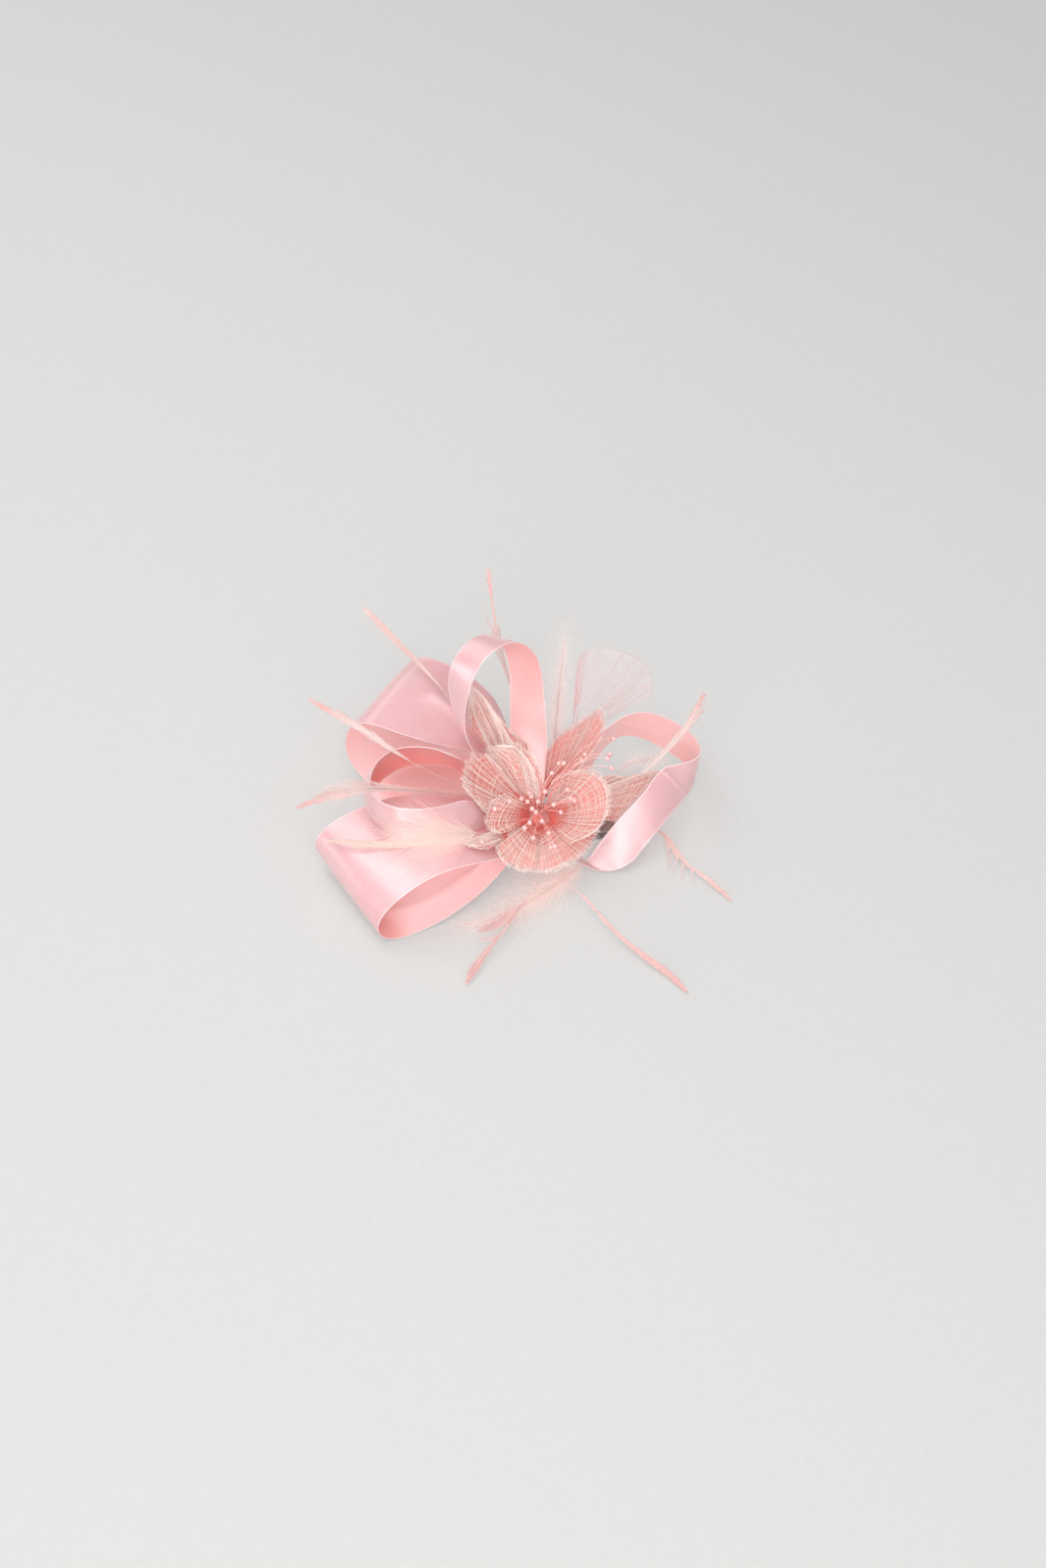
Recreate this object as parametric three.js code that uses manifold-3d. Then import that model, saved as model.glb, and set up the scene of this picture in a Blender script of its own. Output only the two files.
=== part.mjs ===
// Fascinator on an alligator clip: satin ribbon loops, open-weave petals, beaded
// stamens, quill feathers, soft plumes and a net fan on a felt base.
// Millimetres, +Z up. X runs along the clip (squeeze tails at +X), the front of
// the piece faces -Y. The origin is the middle of the clip's flat underside.
import * as THREE from 'three';
import { mergeVertices } from 'three/addons/utils/BufferGeometryUtils.js';
import Module from 'manifold-3d';

// ---- driving dimensions ----
const RIBBON_T = 0.5;          // ribbon thickness
const PETAL_T = 0.6;           // double layer of open weave
const VANE_T = 0.5;            // feather vane thickness
const NET_T = 0.5;             // net thickness
const PEARL_R = 1.2;           // stamen bead radius
const THREAD_R = 0.28;         // stamen thread radius
const FELT_R = 14, FELT_Y = -2, FELT_Z0 = 6.2, FELT_T = 1.4;
const STEM_R = 2.2, STEM_Z0 = 7.9, STEM_Z1 = 15.4, STEM_Y = -4.3;
const JAW_T = 0.8, UPPER_W = 8.0, LOWER_W = 6.0;
const PIVOT_X = 17, PIVOT_Z = 3.2, PIN_R = 0.55, PIN_HOLE_R = 0.62, PIN_L = 9.4;
const UPPER_LINE = [[-24, 4.1], [-20.5, 5.2], [-17.5, 5.6], [18.5, 5.6], [32, 6.5]];
const LOWER_LINE = [[-24, 2.6], [-20.5, 1.5], [-17.5, 0.4], [19.5, 0.4], [32, 1.8]];
const UPPER_EAR_Y = [3.3, 3.9], LOWER_EAR_Y = [2.4, 3.0], EAR_R = 1.6;
const COIL_R = 1.3, WIRE_R = 0.25, COIL_TURNS = 4, COIL_HALF = 1.8;

// ---- stations measured on the piece ----
const RIBBONS = {
  front_left_loop: {
    N: [[-4.4, -14.8, 10.4], [-10, -22, 12.8], [-16.3, -30.3, 18.3], [-23.4, -36.3, 21.9], [-31.1, -40.9, 24.3], [-38.7, -44.6, 24.5], [-45.7, -48.2, 23.1], [-51.8, -51.8, 20.8], [-57, -55, 18.1], [-60.9, -57.5, 14.8], [-63.1, -59.1, 11.4], [-63.7, -59.8, 7.8], [-62.7, -59.7, 4.2], [-59.6, -58.7, 1.3], [-54.1, -56.5, -0.2], [-46.2, -52.8, -0.1], [-36.8, -47.7, 1.2], [-27.7, -40.8, 3], [-19.6, -32.8, 4.9], [-12.4, -24.3, 7.5], [-5.6, -15.4, 8.7]],
    R: [[-7.3, -0.8, 10.4], [-16.9, 1.6, 12.6], [-27.4, 3.8, 16.7], [-38.6, 4.8, 18.6], [-49.7, 4.1, 20.3], [-59.8, 0.7, 21.6], [-68.9, -4, 22.2], [-76.9, -8.6, 22], [-83.3, -12.5, 20.8], [-87.8, -15.5, 18.4], [-90.3, -17.3, 14.8], [-90.6, -17.7, 10.4], [-88.3, -16.8, 6.2], [-83.5, -14.8, 2.8], [-76.8, -11.9, 1], [-68.6, -8.1, 0.8], [-59.1, -4.2, 1.9], [-48, -1.7, 3.8], [-35.5, -0.5, 5.8], [-22.2, -0.2, 8.1], [-8.4, -0.8, 8.7]] },
  back_left_loop: {
    N: [[-7, 1.8, 10.4], [-13, 9.5, 11.4], [-20.5, 18, 16.7], [-27.8, 24.9, 24.7], [-36, 23.4, 28.4], [-44.2, 23.5, 30.6], [-52.1, 25.6, 31.8], [-59.5, 28.5, 32.4], [-66, 31.6, 32.6], [-71.4, 34.2, 31.7], [-75.6, 36.2, 29.3], [-78.7, 37.4, 25.3], [-80.4, 37.8, 20.1], [-80.8, 37.4, 14.4], [-79.7, 36.5, 9.1], [-77.5, 34.9, 4.7], [-73.8, 32.7, 1.7], [-68.9, 27.8, 0.4], [-62.6, 21.8, 0.6], [-54, 18, 1.6], [-43.5, 15.8, 3.2], [-32, 12.6, 5.2], [-20, 8, 7.6], [-8, 2.4, 8.6]],
    R: [[-1, 12, 10.4], [-5, 24, 11.4], [-11, 42.5, 16], [-18.3, 59.5, 21.8], [-23.8, 65.5, 24.2], [-29.4, 69.9, 26.3], [-35.1, 72.5, 28], [-40.4, 74.7, 29.1], [-45.4, 77, 29.2], [-49.7, 79.1, 28.2], [-53.2, 80.8, 25.9], [-55.8, 81.7, 22.2], [-57, 81.9, 17.6], [-56.9, 81.3, 12.7], [-55.3, 80.1, 8], [-52.5, 78.3, 4.3], [-48.5, 75.8, 1.8], [-43.5, 72.9, 0.9], [-37.7, 68.5, 1.1], [-31.8, 61.5, 2.4], [-25, 51.5, 4], [-17.5, 38.5, 5.8], [-9.5, 25, 7.8], [-2, 13, 8.6]] },
  ring_loop: {
    N: [[-7, 0.2, 17.7], [-15, 3.5, 20.7], [-22.5, 6, 27.2], [-28.9, 7.3, 35], [-34.9, 6.6, 40.1], [-41, 8.4, 41.6], [-47.3, 9.1, 42.4], [-53.2, 8.6, 42.7], [-58.5, 6.8, 42.7], [-62.7, 3.6, 42.4], [-65.7, -0.7, 41.9], [-67.3, -5.6, 41.4], [-67.5, -10.5, 40.9], [-66.4, -15, 40.7], [-64, -18.8, 40.6], [-60.2, -21.9, 40.6], [-55, -23.8, 40.4], [-48.9, -23.8, 39.9], [-42.5, -22, 38.9], [-36.2, -18.3, 37], [-29.3, -13.4, 34.2], [-18, -7, 23.7], [-7, -4.2, 17.7]],
    R: [[-7, 1, 13.8], [-15.5, 5.5, 13.7], [-23.5, 10, 16.2], [-30, 12.5, 21.7], [-35.9, 13.7, 25.8], [-41.6, 14.3, 26.8], [-47.6, 14.2, 27.2], [-53.5, 12.8, 27.3], [-58.7, 10.3, 27.1], [-63.1, 6.5, 26.7], [-66.2, 1.9, 26.2], [-68, -3.1, 25.6], [-68.3, -8.3, 25.1], [-67.1, -13.4, 24.8], [-64.6, -18.1, 25.2], [-60.8, -22.3, 25.1], [-56.1, -25.6, 25.1], [-50.4, -27.6, 25], [-43.8, -28, 24.6], [-36.1, -26, 25.9], [-27.3, -21, 24.6], [-17.5, -10.5, 17.8], [-7, -5.2, 14]] },
  arch_loop: {
    N: [[-8, 5.2, 15.2], [-14, 7.2, 21.8], [-20, 9, 28.2], [-26.4, 12, 37], [-29.2, 14.3, 44.8], [-29.8, 16.8, 51.5], [-29, 19.5, 57.9], [-27.2, 22.6, 63.5], [-24.8, 26.1, 67.9], [-21.8, 29.9, 70.8], [-18.2, 33.8, 72.1], [-14.4, 37.8, 72], [-10.3, 41.5, 70.4], [-6.3, 44.6, 67.1], [-2.8, 46.6, 62.4], [-0.2, 47.3, 56.5], [1.5, 46.6, 50], [2.4, 44.4, 43.3], [3, 41, 36.7], [3.5, 36.3, 30.5], [4, 30.8, 25], [4, 24.4, 20.3], [3.9, 16.8, 16.3], [3.1, 7.7, 13]],
    R: [[-9, 11, 15.2], [-14.5, 15.5, 19], [-20.8, 20.5, 22.7], [-27.8, 25, 29.2], [-33.1, 28.2, 38], [-35.8, 30.6, 46.2], [-36.7, 32.7, 53.1], [-36.4, 34.8, 58.5], [-35, 37.2, 62.6], [-32.7, 40.3, 65.6], [-29.7, 43.9, 67.3], [-26.2, 47.5, 67.5], [-22.6, 50.9, 66.2], [-19.1, 53.5, 63.3], [-16, 55.1, 59], [-13.7, 55.5, 53.7], [-12.2, 54.4, 47.5], [-11.5, 51.9, 41], [-11.4, 47.7, 34.3], [-11.4, 41.8, 27.8], [-11.1, 34.5, 22.2], [-9.7, 26.2, 17.8], [-7.9, 17.7, 14.5], [-5.7, 9.3, 12.4]] },
  right_loop: {
    N: [[6, 11.5, 9.8], [13.7, 19.4, 19.4], [21.6, 26.9, 25.7], [28.5, 33.1, 29.4], [34.1, 37.7, 30.8], [39.2, 40.4, 31.4], [44.3, 41.3, 31.5], [49.6, 40.5, 31.2], [54.9, 37.9, 30.9], [59.7, 34.1, 30.6], [63.8, 29.6, 30.4], [66.6, 25, 29.9], [67.6, 20.9, 29.3], [66.6, 17.7, 28.8], [63.9, 15.6, 28.4], [60.3, 14.4, 28], [56.4, 13.5, 27.7], [52.1, 12, 27.7], [48.3, 8.6, 25.4], [44.2, 4, 22], [39.4, 0, 18.6], [34.4, -3.5, 14.6], [29.5, -6.5, 9.7], [25, -9.5, 4.5], [21.7, -12.4, 0.6], [19.9, -14.5, -0.3], [18.1, -15, 2], [14.8, -12.9, 5.9], [9, -7.5, 9.8]],
    R: [[9.5, 2, 9.8], [17.7, 18.3, 11.6], [23.9, 30.5, 13.1], [29.4, 38.8, 14.6], [34.5, 42.9, 15.6], [39.5, 43.5, 15.7], [44.7, 41.9, 15.5], [49.7, 38.8, 15.3], [54.4, 35.1, 15.1], [58.4, 31.5, 14.9], [61.8, 28.4, 14.5], [64.3, 25.7, 14.1], [65.7, 23.1, 13.6], [65.9, 20.2, 13], [64.9, 16.9, 12.5], [62.9, 12.9, 12.3], [60.2, 8.4, 12.5], [57.2, 3.7, 12.8], [54, -1, 12.2], [50.5, -5.6, 10.6], [46.7, -9.9, 8.1], [42.8, -13.9, 5.5], [39.1, -17.9, 3.4], [35.4, -20.4, 2.6], [31.1, -22.3, 2.2], [25.5, -22.6, 2.4], [19.8, -21.7, 4.2], [13.1, -19.8, 8.2], [7, -15, 9.8]] },
};
const PETALS = {
  petal_upper: { base: [-1.5, -0.4, 17.8], bulge: [0, -1, -4],
    rim: [[-22.1, 20.5, 29.2], [-17.6, 19.6, 33.2], [-10.7, 17.7, 36.2], [-4.6, 13.4, 36.7], [-0.2, 8, 34.7], [3, 2.7, 29.2]] },
  petal_left: { base: [-3.4, -2.6, 17.6], bulge: [0, 0, -3],
    rim: [[-15.1, 9.2, 30.7], [-21.1, 11.5, 35.7], [-26.3, 9.2, 38], [-29.7, 1, 38.2], [-30.4, -6.4, 37.7], [-28, -11.7, 35.7], [-23.7, -13.3, 31.2], [-20.5, -13.7, 27]] },
  petal_lower_left: { base: [-3, -6, 17.8], bulge: [0, -1, 1],
    rim: [[-11.4, -4.6, 29.7], [-16.2, -7.8, 30.7], [-19.4, -11.3, 29.7], [-20.9, -16.1, 27.2], [-20.1, -21.3, 25.8], [-15, -22.2, 23.8]] },
  petal_front_left: { base: [-1.4, -8.2, 16], bulge: [0, -1, 1.6],
    rim: [[-18.6, -19.8, 20.2], [-16.9, -26.7, 20], [-14.1, -31.8, 18.4], [-7.4, -33.2, 14.2], [-1.1, -32.4, 12.7]] },
  petal_front_right: { base: [2, -8.2, 15], bulge: [0, -1, 0.4],
    rim: [[-4.6, -29.9, 11.2], [0.1, -31.6, 11.6], [5.3, -32.1, 12.4], [12.4, -29.6, 13.2], [19.2, -23.9, 14.7], [24.1, -16, 16.2], [25.4, -10.2, 17.2]] },
  petal_right: { base: [3.6, -4.6, 17.8], bulge: [1, -1, -2.5],
    rim: [[4.2, 1.6, 25.2], [7, 3.8, 29.2], [11.8, 5, 31.7], [17.4, 6.2, 32.2], [23.5, 5.9, 31.7], [27.8, 2.3, 30.2], [29.5, -3.7, 27.7], [28.5, -10.3, 24.7], [24.7, -17.7, 23.7], [19.1, -22.3, 22.2], [12.4, -25.6, 21.7]] },
  petal_back: { base: [5, 6, 15.8], bulge: [0, 3, -3],
    rim: [[3.9, 23.6, 26.2], [9.6, 27.9, 32.2], [16.9, 29.2, 37.2], [22.9, 30.9, 41.2], [26.2, 31.6, 42.2], [27.8, 26.5, 39.2], [25.7, 21.8, 34.2], [22.5, 18.2, 29.2]] },
  petal_back_left: { base: [-6, 8.4, 16.6], bulge: [0, 1, -1],
    rim: [[-28.6, 30.7, 35.2], [-28.3, 37.1, 39.2], [-27.5, 43.6, 43.2], [-22.2, 40.3, 41.2], [-17.2, 34.5, 37.2], [-11.5, 29.2, 33.2], [-4.2, 26.8, 28.2]] },
  petal_back_right: { base: [9, -1, 14.8], bulge: [0, 0, 2],
    rim: [[30, 16.8, 19.2], [36.7, 19.1, 15.7], [43, 22.6, 13.7], [48.5, 25.5, 12.8], [51.4, 25.6, 11.6], [48.8, 21, 10.4], [43.7, 13.7, 9.6], [38.6, 6.6, 9.2], [33.9, -0.6, 9]] },
  petal_tip: { base: [-12, -17.5, 20.7], bulge: [0, 0, 0.3],
    rim: [[-19.3, -21.3, 23.2], [-24.8, -24, 24], [-29.9, -27.5, 24.2], [-26.3, -29.6, 23.6], [-20, -29.2, 22.6]] },
};
const FEATHERS = {
  feather_top: { w: 3, bare: 0.35, path: [[1, 10, 11.4], [0, 18, 12], [-2, 28, 14.4], [-6, 43, 21.2], [-12, 56, 36.7], [-15.3, 61.5, 46.2], [-17.4, 68, 54.2], [-19.2, 77, 62.7], [-20.7, 88.3, 71.2]] },
  feather_upper_left: { w: 3.2, bare: 0.50, path: [[-8.5, 14.8, 14], [-11, 17.5, 15.8], [-18, 26, 21.2], [-28.8, 33.7, 28.4], [-34.2, 42.1, 31.7], [-40.6, 53.8, 33.7], [-49, 63.5, 37.2], [-58.1, 69.3, 44.2], [-66.4, 75.6, 49.7], [-74, 81.8, 54.2]] },
  feather_left_high: { w: 3.2, bare: 0.50, path: [[-12, 1.5, 13.8], [-22, 4, 17.8], [-31, 5.5, 21.2], [-39.6, 5.7, 28.2], [-48.6, 3.7, 36.7], [-58.4, 5.6, 43.7], [-67.7, 12.5, 45.7], [-75.8, 20.6, 43.7], [-85.3, 30.3, 41.7], [-95.8, 41.6, 39.2]] },
  feather_left: { w: 3.6, bare: 0.32, path: [[-10, -2.2, 15.8], [-18, -3, 19.2], [-27.5, -2.4, 24.7], [-43.3, -5.5, 31.2], [-58.7, -12.1, 39.2], [-67.8, -16.8, 43.7], [-80.2, -16.2, 39.2], [-90.6, -13.4, 33.2], [-100.1, -11.6, 27.2]] },
  feather_on_loop: { w: 2.6, bare: 0.10, path: [[-32.6, -28.6, 24.8], [-42.9, -29.2, 25.4], [-58.6, -29.3, 25], [-74.5, -27.3, 24], [-87.5, -22.8, 21]] },
  feather_front_left: { w: 3.2, bare: 0.30, path: [[-0.5, -15, 11.4], [0.5, -25.1, 10.2], [-1.9, -37.3, 8.7], [-9.4, -51, 6.2], [-19.1, -65.6, 3.2], [-24.1, -74.7, 1.8], [-28.6, -82.5, 0.8]] },
  feather_front_right: { w: 2.8, bare: 0.35, path: [[6.5, -19.5, 11.2], [11.6, -33.4, 8.6], [20.2, -43.5, 6.7], [29.8, -56.5, 4.7], [39.4, -66.7, 3.2], [50.7, -76.6, 1.6], [58.9, -86.3, 0.5]] },
  feather_right_low: { w: 2.6, bare: 0.50, path: [[13.5, 0, 12.2], [17.5, 4, 10.8], [22, 6, 8.8], [30, 6.2, 5.8], [38, 4.5, 4.2], [51.5, -2.5, 4], [61, -18.2, 2.8], [70.6, -28, 1.6], [78.9, -37.8, 0.4]] },
  feather_right_high: { w: 3, bare: 0.45, path: [[12, 0.5, 17.8], [18, 4, 19.2], [25, 7, 20.8], [37.1, 10.9, 22.2], [45.2, 13.1, 25.7], [53.2, 17.5, 32.7], [61.3, 24.8, 39.7], [65.5, 31.6, 42.7], [69, 38.4, 44.7]] },
};
const PLUMES = {
  plume_left: { r: 2.2, path: [[-24.4, -24.4, 26.7], [-31, -27.4, 29.2], [-42.7, -30.2, 32.2], [-53.7, -30.1, 31.2], [-60.8, -29.7, 28.2]] },
  plume_front: { r: 1.5, path: [[18.9, -23.8, 8.8], [14.1, -26.8, 6.2], [8.5, -30.1, 3.8], [-3.5, -40.3, 3.2], [-17.3, -48.5, 2.2], [-34.2, -52.8, 1.7]] },
  plume_back: { r: 2.2, path: [[7.2, 24.5, 20.6], [7.2, 29, 27.2], [8.5, 39.2, 37.2], [10.1, 50.3, 49.2], [12.1, 62.6, 61.2]] },
  plume_right: { r: 2, path: [[32.4, 15.3, 21.2], [39.5, 21.7, 21.2], [45.8, 25.5, 19.2], [52.7, 30.3, 16.2]] },
};
const STAMENS = {
  stamens_centre_left: { root: [-1.1, -4, 18.8], lift: 0.16, pearls: [[-11.4, -12.1, 32.2], [-6.6, -7.5, 29.2], [-3.4, -3.4, 28.2], [-2.6, -4.8, 27.7], [-4.2, -7.2, 27.2], [-17.3, -16.3, 32.2]] },
  stamens_centre: { root: [-0.2, -5.4, 19.5], lift: 0.16, pearls: [[-2.3, -11.4, 27.2], [-0.7, -12.8, 26.7], [1.7, -16.8, 25.7], [-3.3, -17.7, 25.7], [-5.4, -20.7, 25.7], [0.1, -7.7, 27.7]] },
  stamens_front: { root: [0.9, -7.4, 18.4], lift: 0.16, pearls: [[-1.9, -23.3, 22.7], [4.5, -20.6, 22.7], [5.2, -27.8, 21.7], [6.8, -27.7, 22.2], [-22.4, -28.6, 26]] },
  stamens_right: { root: [1.6, -4.6, 18.8], lift: 0.16, pearls: [[3, -2.5, 28.2], [6.5, -7.9, 26.2], [9.3, -11.3, 25.2], [12.1, -3.4, 30.2], [13.3, -7.5, 29.2], [14.9, -8.6, 29.2]] },
  stamens_back: { root: [-0.2, -1.9, 19.5], lift: 0.30, pearls: [[5.7, 1.2, 35.2], [8.6, 5.4, 36.7], [10.6, 5.4, 36.7], [17.8, 7.6, 36.2], [19.4, 10.8, 36.4]] },
  stamens_back_right: { root: [2.9, -3, 20.4], lift: 0.60, pearls: [[28.4, 7.2, 37.7], [29.4, 9.5, 37.7], [31.2, 18.2, 38.2], [30.1, 3, 36.2]] },
};
const NETS = {
  net_fan: { base: [17, 38, 23.2], bulge: [0, 2, -2],
    rim: [[17.3, 50.8, 29.2], [16.5, 57.3, 37.2], [17.2, 59.6, 45.2], [21.2, 58.5, 51.2], [27.3, 57, 54.2], [35.8, 54.4, 53.2], [43.7, 53.4, 49.2], [48, 51.9, 42.2], [47.7, 48.4, 34.2]] },
};

// ---- helpers ----
const wasm = await Module();
wasm.setup();
const V = (a) => new THREE.Vector3(a[0], a[1], a[2]);
const spline = (pts) => new THREE.CatmullRomCurve3(pts.map(V), false, 'centripetal');
const mats = {
  satin: [0xf3c6cb, 0.35, 0], weave: [0xe9a9a4, 0.7, 0], pearl: [0xf6e9e6, 0.2, 0],
  feather: [0xf0b3ae, 0.8, 0], plume: [0xf4e6dc, 0.9, 0], net: [0xeedfe0, 0.8, 0],
  felt: [0xe9b4b6, 0.95, 0], tape: [0xd98f8c, 0.9, 0], metal: [0xb9bab8, 0.3, 1], spring: [0x8d8e8d, 0.35, 1],
};
const group = new THREE.Group();
function add(name, geometry, mat) {
  const [color, roughness, metalness] = mats[mat];
  const mesh = new THREE.Mesh(geometry, new THREE.MeshStandardMaterial({ color, roughness, metalness }));
  mesh.name = name;
  group.add(mesh);
}
function fromTris(pos, idx) {
  const g = new THREE.BufferGeometry();
  g.setAttribute('position', new THREE.Float32BufferAttribute(pos, 3));
  g.setIndex(idx);
  return g;
}
// closed thin solid around a grid of points, rows along the length
function thicken(grid, t) {
  const nu = grid.length, nv = grid[0].length, pos = [], idx = [];
  const at = (i, j) => grid[Math.min(Math.max(i, 0), nu - 1)][Math.min(Math.max(j, 0), nv - 1)];
  for (const s of [1, -1]) {
    for (let i = 0; i < nu; i++) for (let j = 0; j < nv; j++) {
      const du = at(i + 1, j).clone().sub(at(i - 1, j)), dv = at(i, j + 1).clone().sub(at(i, j - 1));
      const n = du.cross(dv).normalize().multiplyScalar(s * t / 2).add(grid[i][j]);
      pos.push(n.x, n.y, n.z);
    }
  }
  const off = nu * nv, a = (i, j) => i * nv + j, b = (i, j) => off + i * nv + j;
  for (let i = 0; i < nu - 1; i++) for (let j = 0; j < nv - 1; j++) {
    idx.push(a(i, j), a(i + 1, j), a(i + 1, j + 1), a(i, j), a(i + 1, j + 1), a(i, j + 1));
    idx.push(b(i, j), b(i + 1, j + 1), b(i + 1, j), b(i, j), b(i, j + 1), b(i + 1, j + 1));
  }
  const wall = (p, q, r, s) => idx.push(p, q, r, p, r, s);
  for (let i = 0; i < nu - 1; i++) {
    wall(a(i + 1, 0), a(i, 0), b(i, 0), b(i + 1, 0));
    wall(a(i, nv - 1), a(i + 1, nv - 1), b(i + 1, nv - 1), b(i, nv - 1));
  }
  for (let j = 0; j < nv - 1; j++) {
    wall(a(0, j), a(0, j + 1), b(0, j + 1), b(0, j));
    wall(a(nu - 1, j + 1), a(nu - 1, j), b(nu - 1, j), b(nu - 1, j + 1));
  }
  return fromTris(pos, idx);
}
// flat band between two edge curves that share their stations
function band(n, r, t, per) {
  const cn = spline(n), cr = spline(r), steps = (n.length - 1) * per, grid = [];
  for (let i = 0; i <= steps; i++) grid.push([cn.getPoint(i / steps), cr.getPoint(i / steps)]);
  return thicken(grid, t);
}
// cupped petal: rays from a narrow foot to the points of the rim
function petal({ base, bulge, rim }, nu, nv, thick) {
  const c = spline(rim), foot = V(base), cup = V(bulge), first = V(rim[0]), last = V(rim[rim.length - 1]);
  const side = last.sub(first).normalize(), grid = [];
  for (let i = 0; i <= nu; i++) {
    const u = i / nu, row = [];
    for (let j = 0; j <= nv; j++) {
      const v = j / nv, p0 = foot.clone().addScaledVector(side, (v - 0.5) * 2.2), p2 = c.getPoint(v);
      const p1 = p0.clone().lerp(p2, 0.5).add(cup);
      row.push(p0.multiplyScalar((1 - u) * (1 - u)).addScaledVector(p1, 2 * u * (1 - u)).addScaledVector(p2, u * u));
    }
    grid.push(row);
  }
  return thicken(grid, thick);
}
// quill feather: bare quill at the root, narrow vane towards the tip
const FACING = new THREE.Vector3(0, -Math.SQRT1_2, Math.SQRT1_2);
function vane({ w, bare, path }, steps) {
  const c = spline(path), grid = [];
  for (let i = 0; i <= steps; i++) {
    const t = i / steps, p = c.getPointAt(t), s = c.getTangentAt(t).cross(FACING).normalize();
    const k = t < bare ? 0.7 : 0.7 + (w - 0.7) * Math.sin(Math.PI * Math.pow((t - bare) / (1 - bare), 0.8));
    const h = Math.max(k, 0.5) / 2;
    grid.push([p.clone().addScaledVector(s, -h), p.clone().addScaledVector(s, h)]);
  }
  return thicken(grid, VANE_T);
}
// closed round tube with its own radius at each step
function tube(points, radii, sides) {
  const n = points.length, pos = [], idx = [];
  let nrm = null;
  for (let i = 0; i < n; i++) {
    const t = points[Math.min(i + 1, n - 1)].clone().sub(points[Math.max(i - 1, 0)]).normalize();
    if (!nrm) nrm = Math.abs(t.z) < 0.9 ? new THREE.Vector3(0, 0, 1) : new THREE.Vector3(1, 0, 0);
    nrm = nrm.clone().addScaledVector(t, -nrm.dot(t)).normalize();
    const bin = t.clone().cross(nrm);
    for (let k = 0; k < sides; k++) {
      const a = 2 * Math.PI * k / sides;
      const q = points[i].clone().addScaledVector(nrm, radii[i] * Math.cos(a)).addScaledVector(bin, radii[i] * Math.sin(a));
      pos.push(q.x, q.y, q.z);
    }
  }
  for (let i = 0; i < n - 1; i++) for (let k = 0; k < sides; k++) {
    const a = i * sides + k, b = i * sides + (k + 1) % sides;
    idx.push(a, b, b + sides, a, b + sides, a + sides);
  }
  pos.push(points[0].x, points[0].y, points[0].z, points[n - 1].x, points[n - 1].y, points[n - 1].z);
  const c0 = n * sides, c1 = c0 + 1, e = (n - 1) * sides;
  for (let k = 0; k < sides; k++) {
    const m = (k + 1) % sides;
    idx.push(c0, m, k, c1, e + k, e + m);
  }
  return fromTris(pos, idx);
}
function plume({ r, path }, steps) {
  const c = spline(path), pts = [], rad = [];
  for (let i = 0; i <= steps; i++) {
    const t = i / steps;
    pts.push(c.getPointAt(t));
    rad.push(0.4 + (r - 0.4) * Math.sin(Math.PI * Math.min(0.06 + t * 0.9, 1)));
  }
  return tube(pts, rad, 6);
}
function solid(geometry) {
  const g = geometry.clone();
  for (const k of Object.keys(g.attributes)) if (k !== 'position') g.deleteAttribute(k);
  const m = mergeVertices(g, 1e-4);
  return new wasm.Manifold(new wasm.Mesh({ numProp: 3, vertProperties: new Float32Array(m.attributes.position.array), triVerts: new Uint32Array(m.index.array) }));
}
function geo(manifold) {
  const m = manifold.getMesh();
  return fromTris(Array.from(m.vertProperties), Array.from(m.triVerts));
}
// beads on threads that share one knot
function spray({ root, lift, pearls }) {
  let body = solid(new THREE.OctahedronGeometry(0.75, 1).translate(...root));
  for (const p of pearls) {
    const a = V(root), b = V(p), mid = a.clone().lerp(b, 0.45);
    mid.z += lift * a.distanceTo(b);
    const c = new THREE.QuadraticBezierCurve3(a, mid, b), pts = c.getPoints(4);
    body = body.add(solid(tube(pts, pts.map(() => THREAD_R), 4)));
    body = body.add(solid(new THREE.OctahedronGeometry(PEARL_R, 1).translate(...p)));
  }
  return geo(body);
}
// strip of sheet metal: a centre line in XZ given thickness and width
function strip(line, width) {
  const n = line.length, up = [], dn = [];
  for (let i = 0; i < n; i++) {
    const p = line[Math.max(i - 1, 0)], q = line[Math.min(i + 1, n - 1)], l = Math.hypot(q[0] - p[0], q[1] - p[1]);
    const nx = -(q[1] - p[1]) / l * JAW_T / 2, nz = (q[0] - p[0]) / l * JAW_T / 2;
    up.push(new THREE.Vector2(line[i][0] + nx, line[i][1] + nz));
    dn.push(new THREE.Vector2(line[i][0] - nx, line[i][1] - nz));
  }
  return slab(new THREE.Shape([...dn, ...up.reverse()]), -width / 2, width / 2);
}
// a shape drawn in XZ, given depth from y0 to y1
function slab(shape, y0, y1) {
  return new THREE.ExtrudeGeometry(shape, { depth: y1 - y0, bevelEnabled: false, curveSegments: 10 }).rotateX(Math.PI / 2).translate(0, y1, 0);
}
function ear(z0, z1, y0, y1) {
  const s = new THREE.Shape();
  s.moveTo(PIVOT_X - EAR_R, z0); s.lineTo(PIVOT_X + EAR_R, z0);
  if (z1 > PIVOT_Z) {                         // rooted below, rounded above the pin
    s.lineTo(PIVOT_X + EAR_R, PIVOT_Z); s.absarc(PIVOT_X, PIVOT_Z, EAR_R, 0, Math.PI, false);
  }
  s.closePath();
  return solid(slab(s, y0, y1));
}
function earUp(z1, y0, y1) {                  // rooted above, rounded below the pin
  const s = new THREE.Shape();
  s.moveTo(PIVOT_X + EAR_R, z1); s.lineTo(PIVOT_X - EAR_R, z1); s.lineTo(PIVOT_X - EAR_R, PIVOT_Z);
  s.absarc(PIVOT_X, PIVOT_Z, EAR_R, Math.PI, 2 * Math.PI, false);
  s.closePath();
  return solid(slab(s, y0, y1));
}
const alongY = (r, l) => new THREE.CylinderGeometry(r, r, l, 24).translate(PIVOT_X, 0, PIVOT_Z);

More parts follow.
